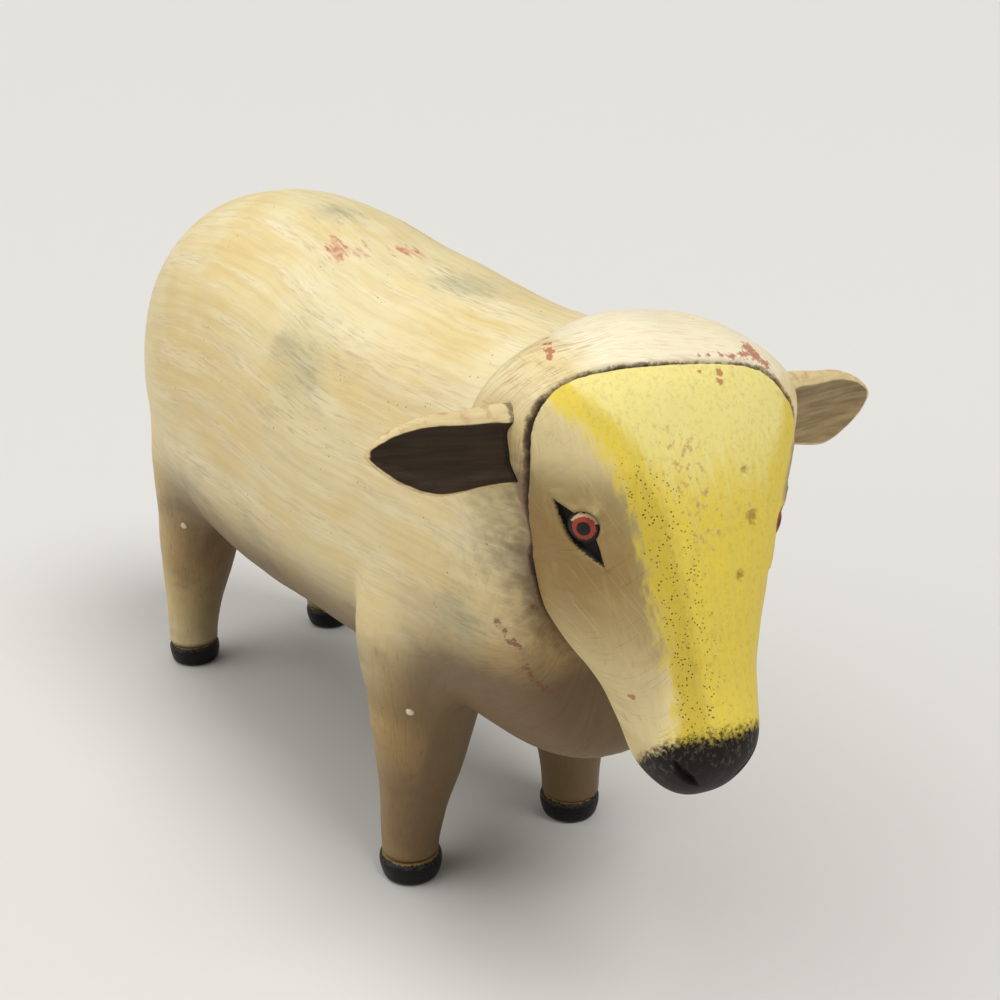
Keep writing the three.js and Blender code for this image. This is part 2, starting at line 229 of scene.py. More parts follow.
@dataclass(frozen=True)
class Barrel(Form):
    """Round body between a rounded rump and a blunt neck end."""

    rear: float = 108.0
    front: float = -175.0
    rump_bluntness: float = 3.8
    neck_bluntness: float = 9.0
    roundness: float = 2.1
    along: tuple[float, ...] = (-120.0, -35.0, 50.0)
    top: tuple[float, ...] = (197.0, 203.5, 209.0)
    bottom: tuple[float, ...] = (66.0, 61.0, 60.5)
    wide: tuple[float, ...] = (97.0, 108.5, 111.0)
    reach: float = 55.0
    sway: tuple[Lumps, ...] = (Lumps(5.0, 70.0, 21), Lumps(0.5, 12.0, 22))

    def share(self, y: Array) -> Array:
        """Place along the barrel, from -1 at the neck to 1 at the rump."""
        return (y - (self.rear + self.front) / 2) / ((self.rear - self.front) / 2)

    def bluntness(self, u: Array) -> Array:
        """Bluntness of the end that a place belongs to."""
        return np.where(u > 0, self.rump_bluntness, self.neck_bluntness)

    def curve(self, y: Array, values: Array, full: bool) -> Array:
        """A section value along the barrel, undone by the ends' closing where full.

        Args:
            y: places along the barrel in mm.
            values: the values at its sections.
            full: whether the ends' closing is undone.

        Returns:
            One value a place.
        """
        places = np.array(self.along)
        u = self.share(places)
        closed = closing(u, self.bluntness(u)) if full else 1.0
        return through(y, places, values / closed)

    def axis(self, y: Array) -> Array:
        """Height of the barrel's middle line."""
        return self.curve(y, (np.array(self.top) + np.array(self.bottom)) / 2, False)

    def level(self, at: Array) -> Array:
        """Level of the barrel at points.

        Args:
            at: points in mm.

        Returns:
            One level a point.
        """
        y = at[:, 1]
        wide = self.curve(y, np.array(self.wide) / 2, True)
        high = self.curve(y, (np.array(self.top) - np.array(self.bottom)) / 2, True)
        n = self.roundness
        across = np.abs(at[:, 0] / wide) ** n + np.abs((at[:, 2] - self.axis(y)) / high) ** n
        u = np.abs(self.share(y))
        b = self.bluntness(self.share(y))
        return ((np.minimum(across, 1e4) ** (b / n) + u**b) ** (1 / b) - 1) * self.reach

    def strokes(self, at: Array) -> Array:
        """Brush coordinates round and along the barrel, in mm.

        Args:
            at: points in mm.

        Returns:
            Three coordinates a point.
        """
        angle = np.arctan2(at[:, 0], at[:, 2] - self.axis(at[:, 1]))
        sway = sum(lumps.over(at) for lumps in self.sway)
        return np.stack([angle * self.reach + sway, at[:, 1], np.zeros(len(at))], 1)


@dataclass(frozen=True)
class Head(Form):
    """Face and hood as one carved form in level sections, in a turned frame of its own."""

    turn: float = 7.5
    tilt: float = 2.0
    pivot: float = -120.0
    top: float = 205.5
    bottom: float = 89.0
    heights: tuple[float, ...] = (101.0, 124.0, 150.0, 176.0, 196.0)
    front: tuple[float, ...] = (107.0, 101.0, 95.5, 88.0, 79.0)
    back: tuple[float, ...] = (76.0, 50.0, 22.0, 8.0, 20.0)
    wide: tuple[float, ...] = (31.5, 45.0, 65.0, 87.5, 82.0)
    muzzle_bluntness: float = 2.5
    poll_bluntness: float = 3.4
    roundness: float = 2.4
    joint_forward: float = 69.0
    joint_height: float = 172.0
    joint_lean: float = 9.0
    joint_turn: float = 3.7
    reach: float = 38.0
    joint_bend: tuple[tuple[float, float], ...] = (
        (136, -7.0), (146, -4.2), (154, -0.8), (162, 2.0), (172, 4.4), (181, 4.0), (190, 2.4), (198, 0.0)
    )
    hood_slope: tuple[tuple[float, float], ...] = (
        (-44, 3.0), (-25, 1.4), (-5, -2.1), (14, -0.6), (24, 0.2), (34, 2.0), (40, 5.2), (46, 10.0)
    )
    hood_start: Span = (1.0, 15.0)
    hood_lean: float = 0.16
    hood_heights: Span = (172.0, 200.0)
    left_cheek: float = 0.04
    cheek_across: Span = (4.0, 24.0)
    cheek_rise: Span = (142.0, 162.0)
    cheek_fall: Span = (196.0, 180.0)
    jaw_across: Span = (-4.0, -16.0)
    bow_height: float = 0.7
    bow_bend: float = 0.0022
    bow_reach: float = 44.0
    bow_middle: float = 2.0
    right_jaw: tuple[tuple[float, float], ...] = (
        (100, 0.0), (108, -0.6), (114, -1.0), (119, 0.2), (125, 2.5), (132, 3.4), (140, 2.3), (150, 0.0)
    )

    @property
    def turned(self) -> Array:
        """Rotation of the head's own frame."""
        turn = Matrix.Rotation(math.radians(-self.turn), 3, "Z")
        return np.array(turn @ Matrix.Rotation(math.radians(self.tilt), 3, "Y"))

    def own(self, at: Array) -> Array:
        """Points of the hoof frame in the head's own frame."""
        here = np.array([0, self.pivot, self.joint_height])
        return (at - here) @ self.turned + np.array([0, 0, self.joint_height])

    def outer(self, at: Array) -> Array:
        """Points of the head's own frame in the hoof frame."""
        here = np.array([0, self.pivot, self.joint_height])
        return (at - np.array([0, 0, self.joint_height])) @ self.turned.T + here

    def share(self, z: Array) -> Array:
        """Place up the head, from -1 at the chin to 1 at the poll."""
        return (z - (self.top + self.bottom) / 2) / ((self.top - self.bottom) / 2)

    def bluntness(self, u: Array) -> Array:
        """Bluntness of the end that a height belongs to."""
        return np.where(u > 0, self.poll_bluntness, self.muzzle_bluntness)

    def section(self, z: Array) -> tuple[Array, Array, Array]:
        """Half width, half depth and middle of the section at heights, before the ends close.

        Args:
            z: heights in the own frame.

        Returns:
            The three lengths in mm, one of each a height.
        """
        places = np.array(self.heights)
        u = self.share(places)
        closed = closing(u, self.bluntness(u))
        front, back = np.array(self.front), np.array(self.back)
        wide = through(z, places, np.array(self.wide) / 2 / closed)
        deep = through(z, places, (front - back) / 2 / closed)
        return wide, deep, through(z, places, (front + back) / 2)

    def level(self, at: Array) -> Array:
        """Level of the head at points, its left cheek and right jaw filled out and its hood lowered.

        Args:
            at: points in mm.

        Returns:
            One level a point.
        """
        q = self.own(at)
        past = q[:, 1] + self.joint_forward + self.hood_lean * (q[:, 2] - self.joint_height)
        behind = ease(*self.hood_start, past)
        lower = through(q[:, 0], *stations(*self.hood_slope))
        full = self.left_cheek * ease(*self.cheek_across, q[:, 0])
        full = full * ease(*self.cheek_rise, q[:, 2]) * ease(*self.cheek_fall, q[:, 2])
        jaw = through(q[:, 2], *stations(*self.right_jaw)) * ease(*self.jaw_across, q[:, 0])
        q[:, 0] = q[:, 0] * (1 - full * (1 - behind)) + jaw * (1 - behind)
        q[:, 2] += lower * ease(*self.hood_heights, q[:, 2]) * behind
        wide, deep, middle = self.section(q[:, 2])
        n = self.roundness
        across = np.abs(q[:, 0] / wide) ** n + np.abs((-q[:, 1] - middle) / deep) ** n
        u = self.share(q[:, 2])
        b = self.bluntness(u)
        total = np.minimum(across, 1e4) ** (b / n) + np.abs(u) ** b
        return (total ** (1 / b) - 1) * self.reach

    def ahead(self, at: Array) -> Array:
        """Distance of points ahead of the joint between face and hood.

        Args:
            at: points in mm.

        Returns:
            One distance a point, below zero on the hood's side.
        """
        lean, turn = math.radians(self.joint_lean), math.radians(self.joint_turn)
        flat = math.cos(lean)
        normal = np.array([-math.sin(turn) * flat, -math.cos(turn) * flat, -math.sin(lean)])
        q = self.own(at)
        flat_joint = (q - np.array([0, -self.joint_forward, self.joint_height])) @ normal
        across = np.clip(q[:, 0], -self.bow_reach, self.bow_reach) - self.bow_middle
        bow = self.bow_height - self.bow_bend * across**2
        return flat_joint - bow - through(q[:, 2], *stations(*self.joint_bend))

    def side_point(self, height: float, forward: float, side: Side) -> Array:
        """Point of the skin at a height and a length ahead of the pivot, in the own frame.

        Args:
            height: the height in mm.
            forward: the length ahead in mm.
            side: the side of the face.

        Returns:
            The point.
        """
        wide, deep, middle = (float(v[0]) for v in self.section(np.array([height])))
        u = self.share(np.array([height]))
        closed = float(closing(u, self.bluntness(u))[0])
        out = max(0.0, 1 - abs((forward - middle) / (deep * closed)) ** self.roundness)
        return np.array([side.value * wide * closed * out ** (1 / self.roundness), -forward, height])


@dataclass(frozen=True)
class Leg(Form):
    """Tapered leg of round sections that drift inward and forward on the way up."""

    corner: Corner
    track: float = 67.0
    base: float = 189.0
    heights: tuple[float, ...] = (9.3, 26.0, 44.0, 64.0, 98.0, 130.0)
    front_wide: tuple[float, ...] = (20.2, 22.5, 29.0, 36.0, 44.0, 26.0)
    rear_wide: tuple[float, ...] = (20.2, 22.5, 29.0, 35.5, 40.0, 24.0)
    front_inward: tuple[float, ...] = (0.0, 1.0, 3.5, 5.0, 8.0, 17.0)
    rear_inward: tuple[float, ...] = (0.0, 1.0, 3.5, 5.8, 10.5, 18.0)
    front_forward: tuple[float, ...] = (0.0, 1.0, 2.0, 3.0, 5.0, 12.0)
    rear_forward: tuple[float, ...] = (0.0, 1.0, 2.5, 4.5, 10.0, 22.0)
    ankle_rounding: float = 1.6
    stroke_layer: float = 40.0

    @property
    def is_front(self) -> bool:
        """Whether the leg stands under the chest."""
        return self.corner.value[1] < 0

    def curve(self, z: Array, front: tuple[float, ...], rear: tuple[float, ...]) -> Array:
        """A station value up the leg, from the list for its end of the body."""
        return through(z, np.array(self.heights), np.array(front if self.is_front else rear))

    def spread(self, at: Array) -> tuple[Array, Array]:
        """Points sideways and lengthways from the leg's middle line.

        Args:
            at: points in mm.

        Returns:
            Their lengths along X and along Y from it.
        """
        inward = self.curve(at[:, 2], self.front_inward, self.rear_inward)
        forward = self.curve(at[:, 2], self.front_forward, self.rear_forward)
        x = self.corner.value[0] * (self.track / 2 - inward)
        y = self.corner.value[1] * self.base / 2 - forward
        return at[:, 0] - x, at[:, 1] - y

    def level(self, at: Array) -> Array:
        """Level of the leg at points.

        Args:
            at: points in mm.

        Returns:
            One level a point.
        """
        z = at[:, 2]
        round_about = np.hypot(*self.spread(at)) - self.curve(z, self.front_wide, self.rear_wide) / 2
        sole = meet(round_about, self.heights[0] - z, self.ankle_rounding)
        return np.maximum(sole, z - self.heights[-1])

    def strokes(self, at: Array) -> Array:
        """Brush coordinates round and along the leg, in mm.

        Args:
            at: points in mm.

        Returns:
            Three coordinates a point.
        """
        x, y = self.spread(at)
        around = np.arctan2(y, x * self.corner.value[0]) * self.front_wide[2] / 2
        return np.stack([around, at[:, 2], np.full(len(at), self.stroke_layer)], 1)


@dataclass(frozen=True)
class Seam:
    """Carved groove along the joint behind the face, with its crumbled filler."""

    depth: float = 1.5
    half_wide: float = 0.5
    side_half_wide: float = 0.85
    heights: Span = (186.0, 176.0)
    crumbs: Lumps = Lumps(0.2, 6.0, 3)
    wander: Lumps = Lumps(0.12, 9.0, 4)
    edge: float = 0.5
    half_gap: float = 0.15

    def opening(self, head: Head, at: Array, skin: Array) -> Array:
        """Signed distance from the groove's wedge, below zero in it.

        Args:
            head: the head form that carries the groove.
            at: points in mm.
            skin: the points' distance from the head's skin.

        Returns:
            One distance a point.
        """
        low = ease(*self.heights, head.own(at)[:, 2])
        half = self.half_wide + (self.side_half_wide - self.half_wide) * low
        half = half * (1 + self.crumbs.over(at))
        off = np.abs(head.ahead(at) + self.wander.over(at))
        return (off * self.depth - (skin + self.depth) * half) / np.hypot(self.depth, half)


@dataclass(frozen=True)
class Carcass(Form):
    """Barrel, hood and legs melted into one skin, before it is parted into its pieces."""

    barrel: Barrel
    head: Head
    seam: Seam
    legs: tuple[Leg, ...]
    hood_back: float = 36.0
    hood_back_side: float = 52.0
    hood_rounding: float = 17.0
    poll_fillet: float = 20.0
    neck_fillet: float = 46.0
    seam_fillet: float = 5.0
    leg_fillet: float = 3.0
    shoulder_fillet: float = 22.0
    seam_rounding: float = 1.0
    hood_sides: Span = (12.0, 40.0)
    valley_across: Span = (14.0, 40.0)
    valley_heights: Span = (140.0, 168.0)
    valley_behind: Span = (1.0, 15.0)
    front_shoulder: tuple[Span, Span] = ((0.75, 0.1), (-1.75, -1.15))
    rear_shoulder: tuple[Span, Span] = ((1.2, 0.4), (-1.9, -1.2))

    def shares(self, at: Array, care: Care) -> dict[str, Array]:
        """Distances from the barrel, the hood and each leg.

        Args:
            at: points in mm.
            care: how carefully they are measured.

        Returns:
            One distance a point for each form, by its name.
        """
        found = {"barrel": self.barrel.measure(at, care)}
        skin = self.head.measure(at, care)
        own = self.head.own(at)
        sides = ease(*self.hood_sides, np.abs(own[:, 0]))
        back = self.hood_back + (self.hood_back_side - self.hood_back) * sides
        cut = meet(skin, back + own[:, 1], self.hood_rounding)
        hood = meet(cut, self.head.ahead(at) + self.seam.half_gap, self.seam_rounding)
        found["hood"] = meet(hood, -self.seam.opening(self.head, at, skin), self.seam.edge)
        for leg in self.legs:
            found[leg.corner.name] = leg.measure(at, care)
        return found

    def measure(self, at: Array, care: Care = Care.EXACT) -> Array:
        """Signed distance of points from the melted skin.

        Args:
            at: points in mm.
            care: how carefully the forms are measured.

        Returns:
            One distance a point, below zero inside.
        """
        found = self.shares(at, care)
        own = self.head.own(at)
        side = ease(*self.valley_across, -own[:, 0]) * ease(*self.valley_heights, own[:, 2])
        soft = self.poll_fillet + (self.neck_fillet - self.poll_fillet) * side
        behind = ease(*self.valley_behind, -self.head.ahead(at))
        whole = melt(found["barrel"], found["hood"], self.seam_fillet + (soft - self.seam_fillet) * behind)
        for leg in self.legs:
            x, y = leg.spread(at)
            turn = np.arctan2(y, x * leg.corner.value[0])
            rear_end, front_end = self.front_shoulder if leg.is_front else self.rear_shoulder
            outer = ease(*rear_end, turn) * ease(*front_end, turn)
            soft = self.leg_fillet + (self.shoulder_fillet - self.leg_fillet) * outer
            whole = melt(whole, found[leg.corner.name], soft)
        return whole


@dataclass(frozen=True)
class FaceForm(Form):
    """Face block: the head ahead of the joint, scribed to the chest."""

    barrel: Barrel
    head: Head
    seam: Seam
    rounding: float = 1.6
    chest_gap: float = 0.35
    chest_rounding: float = 2.6

    def measure(self, at: Array, care: Care = Care.EXACT) -> Array:
        """Signed distance of points from the face block.

        Args:
            at: points in mm.
            care: how carefully the forms are measured.

        Returns:
            One distance a point, below zero inside.
        """
        skin = self.head.measure(at, care)
        block = meet(skin, self.seam.half_gap - self.head.ahead(at), self.rounding)
        block = meet(block, -self.seam.opening(self.head, at, skin), self.seam.edge)
        chest = self.chest_gap - self.barrel.measure(at, care)
        return meet(block, chest, self.chest_rounding)


@dataclass
class Shell:
    """Points in mm with their faces, normals and painted values."""

    points: Array
    faces: list[list[int]] | Array
    normals: Array | None = None
    values: dict[str, Array] = field(default_factory=dict)

    def quads(self) -> Array:
        """Faces as an array of four corners."""
        return np.asarray(self.faces)

    def find_normals(self) -> Array:
        """Normals of the points from their quads, weighted by area.

        Returns:
            One normal a point.
        """
        q = self.quads()
        p = self.points[q]
        flat = np.cross(p[:, 2] - p[:, 0], p[:, 3] - p[:, 1])
        total = np.zeros_like(self.points)
        for axis in range(3):
            for corner in range(4):
                total[:, axis] += np.bincount(q[:, corner], flat[:, axis], len(self.points))
        return total / np.maximum(np.linalg.norm(total, axis=1, keepdims=True), 1e-9)

    def edges(self) -> Array:
        """Each edge of the quads once, as pairs of points.

        Returns:
            The pairs, by the points' numbers.
        """
        q = self.quads()
        pairs = np.concatenate([q[:, [k, (k + 1) % 4]] for k in range(4)])
        return np.unique(np.sort(pairs, axis=1), axis=0)

    def settle(self, form: Form, rounds: int = 4, pull: float = 0.5, reach: float = 1.5) -> None:
        """Evens the points out along a form's skin and draws them onto it.

        Args:
            form: the form whose skin is met.
            rounds: how often.
            pull: share of the way to the neighbours' middle.
            reach: longest way that a point is drawn in one round, in mm.
        """
        pairs = self.edges()
        count = np.bincount(pairs.ravel(), minlength=len(self.points))[:, None]
        for _ in range(rounds):
            normals = self.find_normals()
            total = np.zeros_like(self.points)
            for axis in range(3):
                for a, b in ((0, 1), (1, 0)):
                    values = self.points[pairs[:, b], axis]
                    total[:, axis] += np.bincount(pairs[:, a], values, len(self.points))
            drift = total / count - self.points
            drift -= normals * np.sum(drift * normals, axis=1, keepdims=True)
            self.points = self.points + pull * drift
            off = np.clip(form.measure(self.points), -reach, reach)
            self.points = self.points - normals * off[:, None]
        self.normals = self.find_normals()

    def push(self, height: Array) -> None:
        """Moves the points out along their normals and finds the normals again."""
        self.points = self.points + self.normals * height[:, None]
        self.normals = self.find_normals()


def skin(form: Form, low: Iterable[float], high: Iterable[float], pitch: float) -> Shell:
    """Quads over a form's skin.

    Args:
        form: the form.
        low: lowest corner of the room it is looked for in, in mm.
        high: highest corner.
        pitch: size of a quad in mm.

    Returns:
        The closed shell, its faces turned outward.
    """
    low, high = np.array(low, float), np.array(high, float)
    counts = np.ceil((high - low) / pitch).astype(int) + 1
    xs, ys, zs = (low[k] + pitch * np.arange(counts[k]) for k in range(3))
    y, z = (v.ravel() for v in np.meshgrid(ys, zs, indexing="ij"))
    # Every sixth slab is measured whole, and those between only where it came near the skin.
    step, reach, band = 6, 14 * pitch, 4 * pitch
    levels = np.full((counts[0], len(y)), reach, np.float32)
    near = np.zeros(len(y), bool)
    for i, x in enumerate(xs):
        slab = np.stack([np.full_like(y, x), y, z], 1)
        if i % step == 0:
            levels[i] = form.measure(slab, Care.ROUGH)
            near = np.abs(levels[i]) < reach
            sign = np.sign(levels[i])
        else:
            levels[i] = sign * reach
            levels[i, near] = form.measure(slab[near], Care.ROUGH)
    levels = levels.reshape(counts)
    grid = openvdb.FloatGrid(float(band))
    grid.copyFromArray(np.clip(levels, -band, band))
    points, quads = grid.convertToQuads(isovalue=0.0)
    shell = Shell(points * pitch + low, np.array(quads, int))
    p = shell.points[shell.quads()]
    spans = np.cross(p[:, 2] - p[:, 0], p[:, 3] - p[:, 1])
    if np.sum(spans * p.mean(axis=1)) < 0:
        shell.faces = shell.quads()[:, ::-1]
    return shell


def lofted(rings: Array) -> Shell:
    """A closed skin over rings of equal count, each end closed by a fan.

    Args:
        rings: points by ring and place round it.

    Returns:
        The shell.
    """
    count, sides = rings.shape[:2]
    points = np.concatenate([rings.reshape(-1, 3), rings[[0, -1]].mean(axis=1)])
    faces: list[list[int]] = []
    for s in range(sides):
        t = (s + 1) % sides
        faces.append([count * sides, t, s])
        for a in range(0, (count - 1) * sides, sides):
            faces.append([a + s, a + t, a + sides + t, a + sides + s])
        faces.append([count * sides + 1, (count - 1) * sides + s, (count - 1) * sides + t])
    return Shell(points, faces)


def turned(profile: Array, sides: int) -> Array:
    """Rings of a turned profile of radii and heights about +Z.

    Args:
        profile: pairs of radius and height.
        sides: points round a ring.

    Returns:
        Points by ring and place round it.
    """
    angle = np.linspace(0, 2 * math.pi, sides, endpoint=False)
    r, z = profile[:, :1], np.repeat(profile[:, 1:], sides, axis=1)
    return np.stack([r * np.cos(angle), r * np.sin(angle), z], 2)


def part(shell: Shell, keep: Array, deep: float, inward: Array) -> Shell:
    """One piece of a parted shell, its open rim closed by a low cone.

    Args:
        shell: the whole shell.
        keep: which of its quads belong to the piece.
        deep: how far inward the cone's tip lies from the rim's middle, in mm.
        inward: direction of that.

    Returns:
        The closed piece, with the whole shell's normals and values.
    """
    quads = shell.quads()[keep]
    used, flat = np.unique(quads, return_inverse=True)
    quads = flat.reshape(quads.shape)
    arcs = np.concatenate([quads[:, [k, (k + 1) % 4]] for k in range(4)])
    there = {(a, b) for a, b in arcs.tolist()}
    after = {b: a for a, b in there if (b, a) not in there}
    points, normals = shell.points[used], shell.normals[used]
    faces, tips = quads.tolist(), []
    while after:
        start, rim = next(iter(after)), []
        at = start
        while at in after:
            rim.append(at)
            at = after.pop(at)
        tip = len(points) + len(tips)
        tips.append(points[rim].mean(axis=0) + deep * inward)
        faces += [[a, b, tip] for a, b in zip(rim, rim[1:] + rim[:1])]
    values = {}
    for key, value in shell.values.items():
        values[key] = np.concatenate([value[used], np.zeros((len(tips), *value.shape[1:]))])
    if tips:
        points = np.concatenate([points, np.array(tips)])
        normals = np.concatenate([normals, np.tile(inward, (len(tips), 1))])
    return Shell(points, faces, normals, values)


def linear(hex_colour: str) -> tuple[float, float, float, float]:
    """Linear colour of an sRGB hex value."""
    parts = [int(hex_colour[k : k + 2], 16) / 255 for k in (1, 3, 5)]
    return (*(c / 12.92 if c <= 0.04045 else ((c + 0.055) / 1.055) ** 2.4 for c in parts), 1.0)


def add_node(
    tree: bpy.types.NodeTree, kind: str, settings: dict | None = None, links: dict | None = None
) -> bpy.types.Node:
    """Adds a node with its settings and links.

    Args:
        tree: the material's tree.
        kind: the node's type.
        settings: its own settings by name, and input values by input name or number.
        links: sockets by input name or number.

    Returns:
        The node.
    """
    made = tree.nodes.new(kind)
    for key, value in (settings or {}).items():
        if isinstance(key, str) and hasattr(made, key):
            setattr(made, key, value)
    for key, value in (settings or {}).items():
        if not (isinstance(key, str) and hasattr(made, key)):
            made.inputs[key].default_value = value
    for key, socket in (links or {}).items():
        tree.links.new(socket, made.inputs[key])
    return made


@dataclass(frozen=True)
class Grain:
    """A pattern in a paint, its lump sizes in mm along its three coordinates."""

    size: tuple[float, float, float]
    coords: Coords = Coords.OBJECT
    pattern: Pattern = Pattern.CLOUD
    detail: float = 3.0
    low: float = 0.0
    high: float = 1.0
    shift: float = 0.37

    def place(self, tree: bpy.types.NodeTree) -> bpy.types.NodeSocket:
        """Adds the pattern's nodes and returns its value, from 0 at low to 1 at high.

        Args:
            tree: the material's tree.

        Returns:
            The value's socket.
        """
        if self.coords is Coords.OBJECT:
            where = add_node(tree, "ShaderNodeTexCoord").outputs["Object"]
            scale = tuple(1 / (MM * s) for s in self.size)
        else:
            settings = {"attribute_name": self.coords.value}
            where = add_node(tree, "ShaderNodeAttribute", settings).outputs["Vector"]
            scale = tuple(1 / s for s in self.size)
        settings = {"operation": "MULTIPLY_ADD", 1: scale, 2: (self.shift, self.shift, self.shift)}
        spot = add_node(tree, "ShaderNodeVectorMath", settings, {0: where}).outputs[0]
        if self.pattern is Pattern.CLOUD:
            settings = {"Scale": 1.0, "Detail": self.detail, "Roughness": 0.55}
        else:
            settings = {"Scale": 1.0, "Randomness": 1.0}
        seen = add_node(tree, self.pattern.value, settings, {"Vector": spot}).outputs[0]
        settings = {"From Min": self.low, "From Max": self.high, "interpolation_type": "SMOOTHSTEP"}
        return add_node(tree, "ShaderNodeMapRange", settings, {"Value": seen}).outputs[0]


@dataclass(frozen=True)
class Cover:
    """How much of a coat shows: a painted value's range, ragged by a grain, within other grains."""

    value: str = ""
    low: float = 0.0
    high: float = 1.0
    ragged: Grain | None = None
    reach: float = 0.0
    within: tuple[Grain, ...] = ()
    strength: float = 1.0

    def place(self, tree: bpy.types.NodeTree) -> bpy.types.NodeSocket:
        """Adds the cover's nodes and returns its share, from 0 to the strength.

        Args:
            tree: the material's tree.

        Returns:
            The share's socket.
        """
        shares = [grain.place(tree) for grain in self.within]
        if self.value:
            seen = add_node(tree, "ShaderNodeAttribute", {"attribute_name": self.value}).outputs["Fac"]
            if self.ragged:
                settings = {"From Min": 0.0, "From Max": 1.0, "To Min": -self.reach, "To Max": self.reach}
                jag = add_node(tree, "ShaderNodeMapRange", settings, {"Value": self.ragged.place(tree)})
                settings = {"operation": "ADD"}
                seen = add_node(tree, "ShaderNodeMath", settings, {0: seen, 1: jag.outputs[0]}).outputs[0]
            settings = {"From Min": self.low, "From Max": self.high, "interpolation_type": "SMOOTHSTEP"}
            shares.append(add_node(tree, "ShaderNodeMapRange", settings, {"Value": seen}).outputs[0])
        total = shares[0]
        for share in shares[1:]:
            links = {0: total, 1: share}
            total = add_node(tree, "ShaderNodeMath", {"operation": "MULTIPLY"}, links).outputs[0]
        settings = {"operation": "MULTIPLY", 1: self.strength}
        return add_node(tree, "ShaderNodeMath", settings, {0: total}).outputs[0]


@dataclass(frozen=True)
class Coat:
    """A colour over part of a piece, with the height that it adds in mm."""

    colour: str
    cover: Cover
    height: float = 0.0


@dataclass(frozen=True)
class Finish:
    """A painted or bare surface, laid coat over coat."""

    name: str
    colour: str
    coats: tuple[Coat, ...] = ()
    relief: tuple[tuple[Grain, float], ...] = ()
    roughness: tuple[float, float] = (0.42, 0.6)
    sheen_grain: Grain = Grain((14.0, 14.0, 14.0))
    ior: float = 1.4

    def mix(self) -> bpy.types.Material:
        """Builds the finish's material.

        Returns:
            The material.
        """
        made = bpy.data.materials.new(self.name)
        made.use_nodes = True
        tree = made.node_tree
        tree.nodes.clear()
        settings = {"Base Color": linear(self.colour), "IOR": self.ior}
        paint = add_node(tree, "ShaderNodeBsdfPrincipled", settings)
        add_node(tree, "ShaderNodeOutputMaterial", None, {"Surface": paint.outputs[0]})
        below: bpy.types.NodeSocket | None = None
        heights: list[tuple[bpy.types.NodeSocket, float]] = []
        for coat in self.coats:
            share = coat.cover.place(tree)
            settings = {"data_type": "RGBA", 6: linear(self.colour), 7: linear(coat.colour)}
            links = {0: share} | ({6: below} if below else {})
            below = add_node(tree, "ShaderNodeMix", settings, links).outputs[2]
            if coat.height:
                heights.append((share, coat.height))
        if below:
            tree.links.new(below, paint.inputs["Base Color"])
        heights += [(grain.place(tree), height) for grain, height in self.relief]
        rise: bpy.types.NodeSocket | None = None
        for share, height in heights:
            settings = {"operation": "MULTIPLY_ADD", 1: height, 2: 0.0}
            links = {0: share} | ({2: rise} if rise else {})
            rise = add_node(tree, "ShaderNodeMath", settings, links).outputs[0]
        if rise:
            bump = add_node(tree, "ShaderNodeBump", {"Strength": 1.0, "Distance": MM}, {"Height": rise})
            tree.links.new(bump.outputs[0], paint.inputs["Normal"])
        settings = {"To Min": self.roughness[0], "To Max": self.roughness[1]}
        dull = add_node(tree, "ShaderNodeMapRange", settings, {"Value": self.sheen_grain.place(tree)})
        tree.links.new(dull.outputs[0], paint.inputs["Roughness"])
        return made


# Brush marks are about a millimetre wide and run for a few centimetres along each form; the finest
# are drawn a little coarser than real hairs so that they show.
STROKES = Grain((1.7, 36.0, 8.0), Coords.STROKE, detail=5.0, low=0.4, high=0.68)
SWEEPS = Grain((4.5, 60.0, 12.0), Coords.STROKE, detail=6.0, low=0.44, high=0.62, shift=17.41)
BRISTLES = Grain((0.42, 5.0, 5.0), Coords.SCRATCH, detail=4.0, low=0.48, high=0.66, shift=18.63)
HAIRS = Grain((0.6, 9.0, 5.0), Coords.STROKE, detail=5.0, low=0.48, high=0.66, shift=7.31)
LIMB_STROKES = Grain((1.6, 15.0, 8.0), Coords.LIMB, detail=6.0, low=0.36, high=0.68, shift=3.47)
LIMB_HAIRS = Grain((0.55, 6.0, 5.0), Coords.LIMB, detail=5.0, low=0.48, high=0.66, shift=5.83)
CLOUDS = Grain((44.0, 60.0, 40.0), detail=5.0, low=0.42, high=0.62)
DAUBS = Grain((16.0, 34.0, 13.0), detail=6.0, low=0.48, high=0.68, shift=11.27)
FLECKS = Grain((5.0, 9.0, 5.0), detail=6.0, low=0.52, high=0.64, shift=13.61)
RAGS = Grain((3.0, 5.0, 3.0), detail=6.0, low=0.3, high=0.7, shift=2.39)
SPECKLE = Grain((1.1, 1.1, 1.1), detail=5.0, low=0.25, high=0.75, shift=6.43)
CRUMBS = Grain((0.8, 0.8, 0.8), detail=4.0, low=0.52, high=0.66, shift=4.71)
SCRAPES = Grain((1.2, 13.0, 6.0), Coords.STROKE, detail=6.0, low=0.4, high=0.66, shift=12.83)
SCRATCHES = Grain((0.36, 30.0, 14.0), Coords.SCRATCH, detail=1.0, low=0.62, high=0.72, shift=14.29)
CROSS_SCRATCHES = Grain((26.0, 0.36, 14.0), Coords.SCRATCH, detail=1.0, low=0.62, high=0.72, shift=16.77)
PORES = Grain((3.4, 3.4, 3.4), pattern=Pattern.CELLS, low=0.13, high=0.06)
PORE_FIELD = Grain((18.0, 18.0, 18.0), detail=3.0, low=0.52, high=0.62, shift=9.13)

# Grime with painted shade in the creases, and the dark of the groove, alike on the body and the face.
GRIME_AND_SHADE = Coat("#5d4126", Cover("grime", 0.05, 0.95, RAGS, 0.12, strength=0.8))
GROOVE = (
    Coat("#5d4126", Cover("seam", 0.95, 0.5, SPECKLE, 0.16, strength=0.8)),
    Coat("#2e1d0d", Cover("seam", 0.6, 0.25, SPECKLE, 0.1, strength=0.9)),
)

